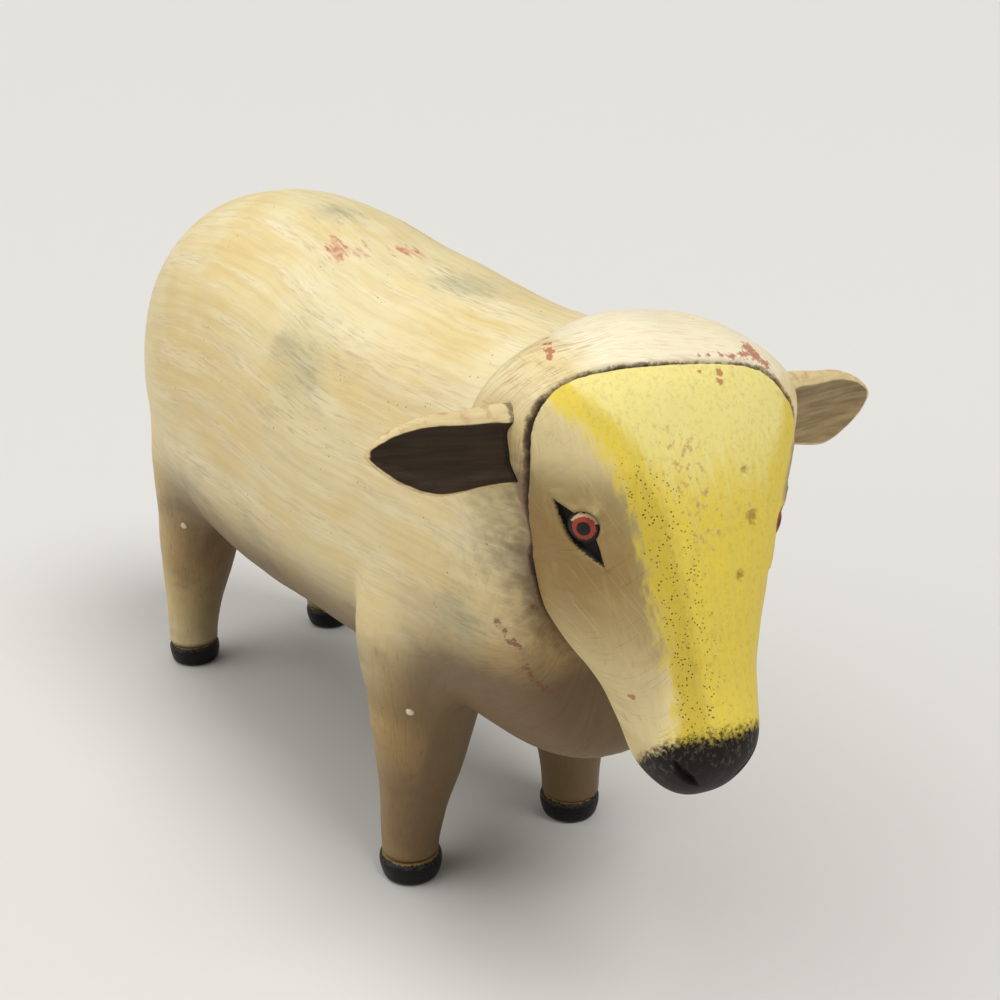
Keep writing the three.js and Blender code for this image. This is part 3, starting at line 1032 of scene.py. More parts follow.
AGED_COATS = (
    # Yellowed varnish lies in clouds and daubs over the cream.
    Coat("#dfc27a", Cover(within=(CLOUDS,), strength=0.55)),
    Coat("#f1e8c6", Cover(within=(DAUBS,), strength=0.3)),
    Coat("#f3ebcb", Cover("limb", 1.0, 0.0, within=(SWEEPS,), strength=0.36), 0.02),
    Coat("#c2a163", Cover("limb", 1.0, 0.0, within=(STROKES,), strength=0.22), -0.03),
    Coat("#c2a163", Cover("limb", 0.0, 1.0, within=(LIMB_STROKES,), strength=0.18), 0.03),
    Coat("#8a6a3a", Cover("limb", 1.0, 0.0, within=(HAIRS, SWEEPS), strength=0.24)),
    Coat("#8a6a3a", Cover("limb", 0.0, 1.0, within=(LIMB_HAIRS, FLECKS), strength=0.28)),
    # The hood is rubbed to a paler, pinkish cream.
    Coat("#f6eed2", Cover("pale", 0.1, 0.9, RAGS, 0.15, strength=0.7)),
    Coat("#d9b79a", Cover("pale", 0.2, 1.0, within=(BRISTLES,), strength=0.4)),
    Coat("#a87a55", Cover("rubbed", 0.0, 0.7, within=(BRISTLES,), strength=0.5), -0.03),
    # Handling has browned the legs; painted shade darkens the belly, the chest and the legs' inner sides,
    # and painted light pales the legs' outer sides.
    Coat("#a8844a", Cover("tan", 0.0, 1.0, DAUBS, 0.06, strength=0.85)),
    Coat("#5f4a30", Cover("shade", 0.0, 1.0, DAUBS, 0.06, strength=0.85)),
    Coat("#5c4426", Cover("tan", 0.3, 0.9, within=(LIMB_HAIRS,), strength=0.24)),
    # Grey-green rubbing smudges.
    Coat("#a19c7c", Cover("smudge", 0.0, 1.0, DAUBS, 0.25, strength=0.55)),
    Coat("#77735c", Cover("smudge", 0.0, 0.9, RAGS, 0.3, (HAIRS,), strength=0.3)),
    # Fine scratches across the strokes, dark with old dust.
    Coat("#7a5540", Cover("scratched", 0.0, 0.6, within=(SCRATCHES,), strength=0.16), -0.02),
    Coat("#8a6a4a", Cover("scratched", 0.0, 0.6, within=(CROSS_SCRATCHES,), strength=0.1), -0.02),
    # Umber grime and painted shade in the creases, dragged out by the brush.
    GRIME_AND_SHADE,
    *GROOVE,
    # Scratches that bare the red ground.
    Coat("#dcae90", Cover("scrape", 0.0, 0.7, SCRAPES, 0.5, strength=0.45)),
    Coat("#b9604a", Cover("scrape", 0.25, 0.7, SCRAPES, 0.6, (RAGS,), strength=0.8), -0.04),
    Coat("#7d4436", Cover("gouge", 0.25, 0.6, SPECKLE, 0.5, strength=0.75), -0.08),
    Coat("#b0583f", Cover("chip", 0.1, 0.5, SPECKLE, 0.4, strength=0.8), -0.08),
    # Pinholes in the filler under the paint.
    Coat("#5a4020", Cover(within=(PORES, PORE_FIELD), strength=0.6), -0.1),
)
AGED_RELIEF = ((HAIRS, 0.02), (CRUMBS, 0.02))

# Casein paint on carved, filled wood: chalky cream, satin where the varnish is left on it.
CREAM = Finish("cream_casein_paint", "#e8d8a6", AGED_COATS, AGED_RELIEF)

# Dry-brushed chrome yellow over the cream, with bone black on the muzzle and round the eyes.
GRIT = Grain((1.3, 1.3, 1.8), detail=8.0, low=0.5, high=0.66, shift=15.37)
BLAZE_EDGE = Grain((2.2, 5.0, 3.0), Coords.LIMB, detail=6.0, low=0.3, high=0.7, shift=1.57)
PINHOLES = Grain((1.0, 1.0, 1.0), pattern=Pattern.CELLS, low=0.28, high=0.14, shift=5.83)
PINHOLE_FIELD = Grain((2.2, 2.2, 3.0), detail=6.0, low=0.42, high=0.5, shift=8.19)
PITS = Grain((1.2, 1.2, 1.2), detail=4.0, low=0.67, high=0.72, shift=10.57)
FACE_COATS = (
    Coat("#d3c08a", Cover(within=(DAUBS,), strength=0.35)),
    Coat("#bd9a58", Cover(within=(LIMB_STROKES,), strength=0.14)),
    Coat("#8a6a3a", Cover(within=(LIMB_HAIRS, FLECKS), strength=0.25)),
    # Painted shade on the cheek: olive grey beside the blaze and a deeper tan towards the jaw.
    Coat("#7f6e46", Cover("olive", 0.0, 1.0, DAUBS, 0.08, strength=0.76)),
    Coat("#94733f", Cover("tan", 0.0, 1.0, DAUBS, 0.06, strength=0.9)),
    Coat("#f0e3b4", Cover("scratched", 0.0, 0.7, within=(SCRATCHES,), strength=0.13), -0.02),
    Coat("#6f5230", Cover("scratched", 0.0, 0.7, within=(CROSS_SCRATCHES,), strength=0.3), -0.02),
    Coat("#e6cc44", Cover("blaze", -4.6, 1.6, BLAZE_EDGE, 1.6, strength=0.94), 0.04),
    Coat("#d0bb6a", Cover("blaze", 0.0, 4.0, within=(LIMB_STROKES,), strength=0.34)),
    # Painted highlight: the blaze is paler towards the top of the face.
    Coat("#f4e89c", Cover("bright", 0.0, 1.0, LIMB_STROKES, 0.16, strength=0.72)),
    Coat("#b3982f", Cover("ochre", 0.0, 1.0, BLAZE_EDGE, 0.2, strength=0.5)),
    Coat("#a88a3e", Cover("blaze", 0.0, 4.0, within=(GRIT,), strength=0.16), -0.03),
    Coat("#c69a70", Cover("worn", 0.1, 0.9, RAGS, 0.5, (GRIT,), strength=0.85)),
    Coat("#94762f", Cover("dent", 0.05, 0.7, SPECKLE, 0.35, strength=0.7)),
    Coat("#54390f", Cover("pitted", 0.0, 1.0, within=(PINHOLES, PINHOLE_FIELD), strength=0.9), -0.25),
    Coat("#4f3814", Cover("pitted", 0.0, 1.0, within=(PITS,), strength=0.85), -0.25),
    Coat("#150f0a", Cover("muzzle", -2.6, 2.2, SPECKLE, 1.7)),
    # Grey band along the muzzle cap's upper part: scuffing with a painted sheen.
    Coat("#5e5446", Cover("scuff", 0.1, 1.0, RAGS, 0.4, (GRIT,), strength=0.55), -0.02),
    GRIME_AND_SHADE,
    Coat("#120c08", Cover("almond", -0.2, 0.3, SPECKLE, 0.2)),
    *GROOVE,
    Coat("#b0583f", Cover("chip", 0.1, 0.5, SPECKLE, 0.4, strength=0.75), -0.1),
)
FACE = Finish("yellow_and_cream_face_paint", "#e2d19e", FACE_COATS, AGED_RELIEF, ior=1.3)

# The ears' hollows are umber, brushed lengthwise; the rims are cream with the red ground worn bare.
EAR_STREAKS = Grain((1.1, 12.0, 3.0), Coords.LIMB, detail=5.0, low=0.3, high=0.7)


def ear_coats(hollow: str, streak: str) -> tuple[Coat, ...]:
    """Coats of an ear, by the colours of its hollow and of the streaks in it.

    Args:
        hollow: colour of the hollow.
        streak: colour of the streaks.

    Returns:
        The coats, the lowest first.
    """
    return (
        Coat("#bd9a58", Cover(within=(EAR_STREAKS,), strength=0.4)),
        Coat("#b0705a", Cover("chip", 0.2, 0.7, RAGS, 0.4, strength=0.55), -0.05),
        Coat(hollow, Cover("hollow", 0.1, 0.5, EAR_STREAKS, 0.1)),
        Coat(streak, Cover("hollow", 0.2, 0.8, within=(EAR_STREAKS,), strength=0.6)),
        Coat("#1d130b", Cover("seam", 0.7, 0.0, CRUMBS, 0.3, strength=0.7)),
    )


EAR_RELIEF = ((EAR_STREAKS, 0.04), (CRUMBS, 0.04))
# The right hollow is painted darker, partly as painted shade, and the left one paler, partly as painted
# light.
RIGHT_EAR = Finish("dark_umber_ear_paint_and_painted_shade", "#e2cf9e", ear_coats("#382918", "#20160e"), EAR_RELIEF, ior=1.3)
LEFT_EAR = Finish("pale_umber_ear_paint_and_painted_light", "#e2cf9e", ear_coats("#a08a64", "#6c5838"), EAR_RELIEF, ior=1.3)

# Bone black on turned hooves, rubbed to grey at the edges.
HOOF_COATS = (
    Coat("#4a4540", Cover("rub", 0.35, 0.9, SPECKLE, 0.4, strength=0.5)),
    Coat("#a98a55", Cover("rim", 0.4, 0.8, SPECKLE, 0.3, strength=0.8)),
)
HOOF = Finish("bone_black_hoof_paint", "#111010", HOOF_COATS, ((CRUMBS, 0.06),), (0.35, 0.55), ior=1.3)

# Enamel dabs: black ball, red iris, black pupil and a cream glint along the upper lid.
EYE_COATS = (
    Coat("#c9a888", Cover("glint", 0.0, 0.4, SPECKLE, 0.3)),
    Coat("#96391f", Cover("iris", 3.2, 2.9, SPECKLE, 0.2)),
    Coat("#0d0a09", Cover("iris", 1.95, 1.65, SPECKLE, 0.1)),
)
EYE = Finish("enamel_eye_paint", "#140e0a", EYE_COATS, ((CRUMBS, 0.03),), (0.5, 0.6))

# Turned hardwood pegs, their end grain pale where the paint has come off.
PEG_COATS = (Coat("#8d6a3c", Cover(within=(Grain((0.5, 0.5, 6.0), low=0.35, high=0.65),), strength=0.4)),)
PEG = Finish("bare_beech_peg", "#eadfbe", PEG_COATS, ((CRUMBS, 0.05),), (0.5, 0.7))


@dataclass(frozen=True)
class Mark:
    """A spot on the paint, by where the camera sees it, its size in mm and its stretch along Y."""

    pixel: tuple[float, float]
    size: float
    stretch: float = 1.0


@dataclass
class Workshop:
    """Places pieces in the frame and keeps their finishes."""

    origin: Vector
    made: dict[str, bpy.types.Material] = field(default_factory=dict)

    def dress(self, piece: bpy.types.Object, finish: Finish) -> None:
        """Gives an object a finish in place of what it had.

        Args:
            piece: the object.
            finish: the finish.
        """
        if finish.name not in self.made:
            self.made[finish.name] = finish.mix()
        piece.data.materials.clear()
        piece.data.materials.append(self.made[finish.name])

    def place(self, name: str, shell: Shell, finish: Finish, slot: str, *nodes: str) -> bpy.types.Object:
        """Makes a piece of the figure.

        Args:
            name: the piece's name.
            shell: its shape in mm in the hoof frame.
            finish: its finish.
            slot: the record's material slot; not used.
            nodes: the solids that it stands for.

        Returns:
            The piece, riding on the figure.
        """
        mesh = bpy.data.meshes.new(name)
        faces = shell.faces if isinstance(shell.faces, list) else shell.faces.tolist()
        mesh.from_pydata((shell.points * MM + np.array(self.origin)).tolist(), [], faces)
        for key, value in shell.values.items():
            kind = "FLOAT" if value.ndim == 1 else "FLOAT_VECTOR"
            target = mesh.attributes.new(key, kind, "POINT").data
            target.foreach_set("value" if value.ndim == 1 else "vector", value.astype(np.float32).ravel())
        mesh.shade_smooth()
        if shell.normals is not None:
            mesh.normals_split_custom_set_from_vertices(shell.normals.tolist())
        piece = bpy.data.objects.new(name, mesh)
        bpy.context.scene.collection.objects.link(piece)
        self.dress(piece, finish)
        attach(piece, "root")
        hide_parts(*nodes)
        log.info("%s: %d points, %d faces, %s", name, len(mesh.vertices), len(mesh.polygons), finish.name)
        return piece


@dataclass(frozen=True)
class Sight:
    """The camera of the photograph, in the hoof frame."""

    place: tuple[float, float, float] = (-239.2, -458.7, 300.0)
    heading: float = 33.63
    pitch: float = 21.4
    focal_pixels: float = 1450.0
    image_pixels: float = 1000.0
    sensor: float = 36.0
    start: float = 300.0
    steps: int = 80
    stride: float = 0.85

    def axes(self) -> tuple[Array, Array, Array]:
        """Right, up and forward of the camera.

        Returns:
            The three directions, each of length 1.
        """
        a, p = math.radians(self.heading), math.radians(self.pitch)
        level = np.array([math.sin(a), math.cos(a), 0.0])
        right = np.array([math.cos(a), -math.sin(a), 0.0])
        forward = level * math.cos(p) - AXES[2] * math.sin(p)
        return right, np.cross(right, forward), forward

    def land(self, form: Form, pixel: tuple[float, float]) -> Array:
        """Point of a form's skin that the camera sees at a pixel.

        Args:
            form: the form.
            pixel: the pixel, from the picture's upper left corner.

        Returns:
            The point in mm.
        """
        right, up, forward = self.axes()
        over, down = (np.array(pixel) - self.image_pixels / 2) / self.focal_pixels
        ray = forward + right * over - up * down
        ray /= np.linalg.norm(ray)
        at = np.array([self.place]) + self.start * ray
        for _ in range(self.steps):
            at = at + self.stride * form.measure(at)[0] * ray
        return at[0]

    def set_up(self, origin: Vector) -> bpy.types.Object:
        """Makes the scene's camera.

        Args:
            origin: the hoof frame's origin in metres.

        Returns:
            The camera.
        """
        right, up, forward = self.axes()
        lens = bpy.data.cameras.new("camera")
        lens.sensor_width = self.sensor
        lens.lens = self.focal_pixels / self.image_pixels * self.sensor
        camera = bpy.data.objects.new("camera", lens)
        bpy.context.scene.collection.objects.link(camera)
        turn = Matrix([right, up, -forward]).transposed().to_4x4()
        camera.matrix_world = Matrix.Translation(Vector(self.place) * MM + origin) @ turn
        bpy.context.scene.camera = camera
        return camera


def spots(at: Array, marks: Iterable[Mark], sight: Sight, form: Form) -> Array:
    """How near points lie to marks, from 1 in the middle to 0 at a mark's edge and below beyond.

    Args:
        at: points in mm.
        marks: the marks.
        sight: the camera that the marks' pixels belong to.
        form: the form that carries them.

    Returns:
        One value a point.
    """
    best = np.full(len(at), -1.0)
    for mark in marks:
        off = at - sight.land(form, mark.pixel)
        off[:, 1] /= mark.stretch
        best = np.maximum(best, 1 - np.linalg.norm(off, axis=1) / mark.size)
    return best


@dataclass(frozen=True)
class BrowningAndShade:
    """Where handling has browned the body, where shade and light are painted on it, and how strongly, by the
    ends of smooth steps in mm.
    """

    fore: Span = (-50.0, -75.0)
    chest_along: Span = (-100.0, -165.0)
    chest_heights: Span = (150.0, 90.0)
    chest_painted_shade: float = 0.7
    hood_inside: Span = (-2.0, -8.0)
    hood_heights: Span = (188.0, 172.0)
    hood_tan: float = 0.3
    neck_outside: Span = (2.0, 8.0)
    neck_across: Span = (-8.0, -28.0)
    neck_heights: Span = (203.0, 188.0)
    neck_tan: float = 0.4
    leg_heights: Span = (115.0, 50.0)
    leg_tan: float = 0.95
    rear_ankle: Span = (75.0, 25.0)
    rear_ankle_loss: float = 0.8
    outward: Span = (0.83, 0.55)
    outer_side: Span = (0.2, 0.9)
    outer_painted_light: float = 0.5
    downward: Span = (0.4, -0.6)
    belly_heights: Span = (135.0, 85.0)
    belly_shade: float = 0.9
    inner_side: Span = (0.1, -0.75)
    inner_heights: Span = (118.0, 92.0)
    inner_shade: float = 0.8
    rear_share: float = 0.25
    shin_heights: Span = (62.0, 30.0)
    shin_shade: float = 0.4
    breast_heights: Span = (145.0, 85.0)
    breast_shade: float = 0.9

    def lay(self, shell: Shell, over_hood: Array, q: Array) -> None:
        """Works out the tan, partly painted shade and light, and the painted shade of a skin.

        Args:
            shell: the skin, which takes the values.
            over_hood: how much farther from the barrel than from the hood its points lie.
            q: its points in the head's own frame.
        """
        x, y, z = shell.points.T
        fore = ease(*self.fore, y)
        chest = ease(*self.chest_along, y) * ease(*self.chest_heights, z)
        hood = ease(*self.hood_inside, over_hood) * ease(*self.hood_heights, q[:, 2])
        neck = ease(*self.neck_outside, over_hood) * ease(*self.neck_across, q[:, 0])
        neck = neck * ease(*self.neck_heights, q[:, 2])
        tan = self.leg_tan * ease(*self.leg_heights, z)
        tan -= self.rear_ankle_loss * ease(*self.rear_ankle, z) * (1 - fore)
        # Painted light: sides that face outward and backward are paler.
        sideways, backward = self.outward
        outer = sideways * np.sign(x) * shell.normals[:, 0] + backward * shell.normals[:, 1]
        tan *= 1 - self.outer_painted_light * ease(*self.outer_side, outer)
        # Painted shade browns the chest below the head; the hood's sides and the neck are browned as well.
        tan += self.chest_painted_shade * chest + self.hood_tan * hood + self.neck_tan * neck
        shell.values["tan"] = np.clip(tan, 0, 1)
        # Painted shade: darker under the belly, on the chest, on the legs' inner sides and low on the front
        # legs.
        shade = self.belly_shade * ease(*self.downward, shell.normals[:, 2]) * ease(*self.belly_heights, z)
        shade += self.breast_shade * chest * ease(*self.breast_heights, z)
        inner = self.inner_shade * ease(*self.inner_side, outer) * ease(*self.inner_heights, z)
        shade += inner * (self.rear_share + (1 - self.rear_share) * fore)
        shade += self.shin_shade * fore * ease(*self.shin_heights, z)
        shell.values["shade"] = np.clip(shade, 0, 1)


@dataclass
class Body:
    """Body block and the four legs, cut from one melted skin."""

    carcass: Carcass
    face: FaceForm
    sight: Sight
    browning_and_shade: BrowningAndShade = BrowningAndShade()
    pitch: float = 1.2
    room: tuple[tuple[float, ...], tuple[float, ...]] = ((-70, -200, 5), (70, 116, 216))
    worked: tuple[Lumps, ...] = (Lumps(0.5, 34.0, 1), Lumps(0.18, 11.0, 2))
    crumbs: Lumps = Lumps(0.16, 2.2, 5)
    crumbs_near: Span = (5.0, 1.0)
    hood_sway: Lumps = Lumps(2.0, 12.0, 23)
    hood_middle: float = 150.0
    hood_radius: float = 48.0
    hood_layer: float = 90.0
    barrel_slant: float = 32.0
    hood_slant: float = 75.0
    limb_blend: Span = (-5.0, 5.0)
    rump: Span = (86.0, 106.0)
    groove_heights: Span = (188.0, 168.0)
    groove_grime_and_shade: float = 0.12
    groove_low_grime_and_shade: float = 0.5
    groove_reach: float = 1.6
    groove_low_reach: float = 3.4
    stain_and_shade: float = 0.5
    stain_and_shade_reach: float = 14.0
    groove_lip: float = 0.3
    groove_wide: float = 0.7
    groove_low_wide: float = 0.4
    crown_heights: Span = (188.0, 198.0)
    crown_across: Span = (-34.0, -14.0)
    crown_blend: Span = (-6.0, 10.0)
    block_cone: float = 7.0
    leg_cone: float = 4.0
    chips: tuple[Mark, ...] = (
        Mark((343, 249), 7.5, 1.8),
        Mark((408, 251), 5.5, 1.8),
    )
    gouges: tuple[Mark, ...] = (
        Mark((497, 622), 1.7), Mark((504, 631), 1.4), Mark((511, 642), 2.3), Mark((517, 645), 2.0),
        Mark((526, 667), 1.5), Mark((530, 674), 1.6), Mark((534, 680), 1.6), Mark((539, 685), 1.7),
        Mark((545, 689), 1.6), Mark((551, 693), 1.6), Mark((558, 697), 1.3), Mark((535, 606), 1.4),
    )
    hood_chips: tuple[Mark, ...] = (
        Mark((546, 337), 1.5), Mark((547, 343), 1.7), Mark((549, 350), 1.7), Mark((550, 357), 1.4),
        Mark((750, 348), 3.4), Mark((756, 355), 3.2), Mark((765, 362), 2.4), Mark((743, 354), 2.0),
        Mark((732, 355), 1.6), Mark((722, 354), 1.3), Mark((709, 354), 1.2), Mark((700, 354), 1.0),
    )
    smudges: tuple[Mark, ...] = (
        Mark((335, 212), 16.0, 1.4),
        Mark((475, 285), 20.0, 1.6),
        Mark((300, 370), 26.0, 1.3),
        Mark((250, 525), 16.0),
        Mark((460, 620), 20.0),
    )
    rubbed: tuple[Mark, ...] = (Mark((530, 375), 17.0), Mark((512, 450), 14.0), Mark((560, 345), 14.0))
    scratched: tuple[Mark, ...] = (
        Mark((500, 600), 34.0), Mark((540, 690), 26.0), Mark((500, 380), 22.0)
    )

    def carve(self) -> Shell:
        """Carves the melted skin with its hand-worked unevenness.

        Returns:
            The whole skin, before it is parted.
        """
        shell = skin(self.carcass, *self.room, self.pitch)
        shell.settle(self.carcass)
        near = np.abs(self.carcass.head.ahead(shell.points))
        crumbs = self.crumbs.over(shell.points) * ease(*self.crumbs_near, near)
        shell.push(sum(lumps.over(shell.points) for lumps in self.worked) + crumbs)
        return shell

    def lay_strokes(self, shell: Shell, found: dict[str, Array], q: Array) -> None:
        """Lays the brush's ways along the barrel, round the hood and up the legs.

        Args:
            shell: the skin, which takes the values.
            found: its points' distances from the forms.
            q: its points in the head's own frame.
        """
        at = shell.points
        legs = np.stack([found[c.name] for c in Corner])
        leg = legs.min(axis=0)
        ways = np.stack([form.strokes(at) for form in self.carcass.legs])
        limb = ways[np.argmin(legs, axis=0), np.arange(len(at))]
        around = np.arctan2(q[:, 0], q[:, 2] - self.hood_middle) * self.hood_radius
        around = around + self.hood_sway.over(at)
        hood = np.stack([around, q[:, 1], np.full(len(at), self.hood_layer)], 1)
        is_hood = (found["hood"] < leg)[:, None]
        barrel = self.carcass.barrel.strokes(at)
        shell.values["stroke"] = barrel
        shell.values["limb_stroke"] = np.where(is_hood, hood, limb)
        slants = slanted(hood, self.hood_slant), slanted(barrel, self.barrel_slant)
        shell.values["scratch"] = np.where(is_hood, *slants)
        limb_near = np.minimum(found["hood"], leg)
        blend = ease(*self.limb_blend, found["barrel"] - limb_near)
        shell.values["limb"] = np.maximum(blend, ease(*self.rump, at[:, 1]))

    def paint(self, shell: Shell, found: dict[str, Array]) -> None:
        """Works out the painted values of the melted skin.

        Args:
            shell: the skin, which takes the values.
            found: its points' distances from the forms.
        """
        q = self.carcass.head.own(shell.points)
        self.lay_strokes(shell, found, q)
        over_hood = found["barrel"] - found["hood"]
        self.browning_and_shade.lay(shell, over_hood, q)
        # Grime and painted shade lie widest and darkest low on the sides of the groove.
        near = np.maximum(self.face.measure(shell.points), 0)
        low = ease(*self.groove_heights, q[:, 2])
        reach = self.groove_reach + self.groove_low_reach * low
        crease = (self.groove_grime_and_shade + self.groove_low_grime_and_shade * low) * np.exp(-near / reach)
        stain_and_shade = self.stain_and_shade * low * np.exp(-near / self.stain_and_shade_reach)
        shell.values["grime"] = np.clip(crease + stain_and_shade, 0, 1)
        wide = self.groove_wide + self.groove_low_wide * low
        shell.values["seam"] = np.maximum(near - self.groove_lip, 0) / wide
        crown = ease(*self.crown_heights, q[:, 2]) * ease(*self.crown_across, q[:, 0])
        shell.values["pale"] = ease(*self.crown_blend, over_hood) * crown
        marks = {"scrape": self.chips, "gouge": self.gouges, "chip": self.hood_chips, "smudge": self.smudges}
        for key, places in marks.items():
            shell.values[key] = spots(shell.points, places, self.sight, self.carcass)
        for key, places in {"rubbed": self.rubbed, "scratched": self.scratched}.items():
            shell.values[key] = np.maximum(spots(shell.points, places, self.sight, self.carcass), 0)

    def build(self, shop: Workshop) -> None:
        """Carves, paints and parts the skin into the body block and its legs.

        Args:
            shop: where the pieces are placed.
        """
        shell = self.carve()
        found = self.carcass.shares(shell.points, Care.EXACT)
        self.paint(shell, found)
        trunk = np.minimum(found["barrel"], found["hood"])
        nearest = np.argmin(np.stack([trunk] + [found[c.name] for c in Corner]), axis=0)
        label = np.sort(nearest[shell.quads()], axis=1)[:, 2]
        up = AXES[2]
        block = part(shell, label == 0, self.block_cone, up)
        shop.place("body_block", block, CREAM, "cream_paint", "body_block")
        for k, corner in enumerate(Corner):
            node = "leg_" + corner.name.lower()
            leg = part(shell, label == k + 1, self.leg_cone, up)
            shop.place(node, leg, CREAM, "leg_paint", node)


@dataclass(frozen=True)
class FacePaint:
    """Where the face's paints lie, by borders and the ends of smooth steps in mm, and how strongly."""

    blaze_right: tuple[tuple[float, float], ...] = (
        (108, -11), (120.8, -10.3), (136, -12.3), (156.2, -15.9), (170.8, -19.2), (184.9, -26.2),
        (193.3, -34), (203, -42),
    )
    blaze_left: tuple[tuple[float, float], ...] = (
        (108, 13), (120.8, 15), (136, 19), (156.2, 25), (170.8, 30), (184.9, 37), (203, 42)
    )
    chin_margin: float = 2.0
    blaze_edge: Span = (-3.0, 1.0)
    bright_inside: Span = (4.0, 12.0)
    bright_heights: Span = (158.0, 190.0)
    ochre_inside: Span = (10.0, 3.0)
    ochre_heights: Span = (186.0, 166.0)
    pits_inside: Span = (16.0, 6.0)
    pits_heights: Span = (184.0, 172.0)
    pits_least: float = 0.22
    muzzle_height: float = 111.8
    muzzle_front: float = 104.5
    muzzle_drop: float = 0.9
    scuff_start: Span = (0.0, 3.0)
    scuff_end: Span = (13.0, 5.0)
    groove_heights: Span = (188.0, 168.0)
    groove_grime_and_shade: float = 0.2
    groove_low_grime_and_shade: float = 0.4
    groove_reach: float = 2.2
    groove_wide: float = 0.95
    groove_low_wide: float = 0.1
    jaw_gap: float = 0.4
    jaw_painted_shade: float = 0.7
    jaw_reach: float = 3.0
    jaw_shade_brown: float = 0.7
    jaw_shade_reach: float = 15.0
    jaw_heights: Span = (182.0, 152.0)
    cheek_brown: float = 0.32
    low_brown: float = 0.2
    low_heights: Span = (172.0, 160.0)
    brown_heights: Span = (112.0, 150.0)
    brown_side: Span = (2.0, -6.0)
    olive_side: Span = (3.0, -2.0)
    olive_high: Span = (186.0, 168.0)
    olive_low: Span = (114.0, 152.0)
    scratched_side: Span = (3.0, -7.0)
    scratched_heights: Span = (172.0, 150.0)
    scratched_least: float = 0.35
    stroke_across: float = 1.4
    stroke_lean: float = 0.2
    scratch_across: float = 1.3
    scratch_slant: float = 38.0

    def lay(self, shell: Shell, q: Array, ahead: Array, form: FaceForm) -> None:
        """Works out the painted values of the face block.

        Args:
            shell: the block's carved skin, which takes the values.
            q: its points in the head's own frame, from before they were carved.
            ahead: their distance from the joint.
            form: the block's form.
        """
        x, y, z = q.T
        values = shell.values
        # The blaze of yellow ends at a border on either side and short of the chin's underside.
        inside = x - through(z, *stations(*self.blaze_right))
        left = through(z, *stations(*self.blaze_left)) - x
        blaze = np.minimum(np.minimum(inside, left), -y - form.head.section(z)[2] + self.chin_margin)
        values["blaze"] = blaze
        # Painted highlight on the upper blaze.
        values["bright"] = ease(*self.bright_inside, blaze) * ease(*self.bright_heights, z)
        on_blaze = ease(*self.blaze_edge, blaze)
        values["ochre"] = on_blaze * ease(*self.ochre_inside, inside) * ease(*self.ochre_heights, z)
        crowd = ease(*self.pits_inside, inside) * ease(*self.pits_heights, z)
        values["pitted"] = on_blaze * (self.pits_least + (1 - self.pits_least) * crowd)
        # The black cap of the muzzle drops towards the chin on its way back.
        cap = self.muzzle_height - self.muzzle_drop * np.maximum(y + self.muzzle_front, 0) - z
        values["muzzle"] = cap
        # The grey band on the cap's upper part is scuffing with a painted sheen.
        values["scuff"] = ease(*self.scuff_start, cap) * ease(*self.scuff_end, cap)
        # Grime, browning and painted shade gather along the groove and where the jaw meets the chest.
        low = ease(*self.groove_heights, z)
        jaw = np.maximum(form.barrel.measure(shell.points) - self.jaw_gap, 0)
        edge = np.minimum(ahead, jaw)
        grime = (self.groove_grime_and_shade + self.groove_low_grime_and_shade * low) * np.exp(-ahead / self.groove_reach)
        values["grime"] = np.maximum(grime, self.jaw_painted_shade * np.exp(-jaw / self.jaw_reach))
        values["seam"] = edge / (self.groove_wide + self.groove_low_wide * low)
        # The cheek's own tan deepens low down and along the jaw as painted shade.
        by_jaw = self.jaw_shade_brown * np.exp(-edge / self.jaw_shade_reach) * ease(*self.jaw_heights, z)
        brown = self.low_brown * ease(*self.low_heights, z) + by_jaw
        brown = self.cheek_brown + brown * ease(*self.brown_heights, z)
        values["tan"] = np.clip(ease(*self.brown_side, blaze) * brown, 0, 1)
        # Painted shade: olive grey on the cheek beside the blaze.
        olive = ease(*self.olive_side, blaze) * ease(*self.olive_high, z)
        values["olive"] = olive * ease(*self.olive_low, z)
        scratched = self.scratched_least + (1 - self.scratched_least) * ease(*self.scratched_heights, z)
        values["scratched"] = ease(*self.scratched_side, blaze) * scratched
        values["stroke"] = np.stack([x, z, np.zeros(len(q))], 1)
        values["limb_stroke"] = np.stack([x * self.stroke_across + self.stroke_lean * z, z, y], 1)
        values["scratch"] = slanted(np.stack([x * self.scratch_across, z, y], 1), self.scratch_slant)


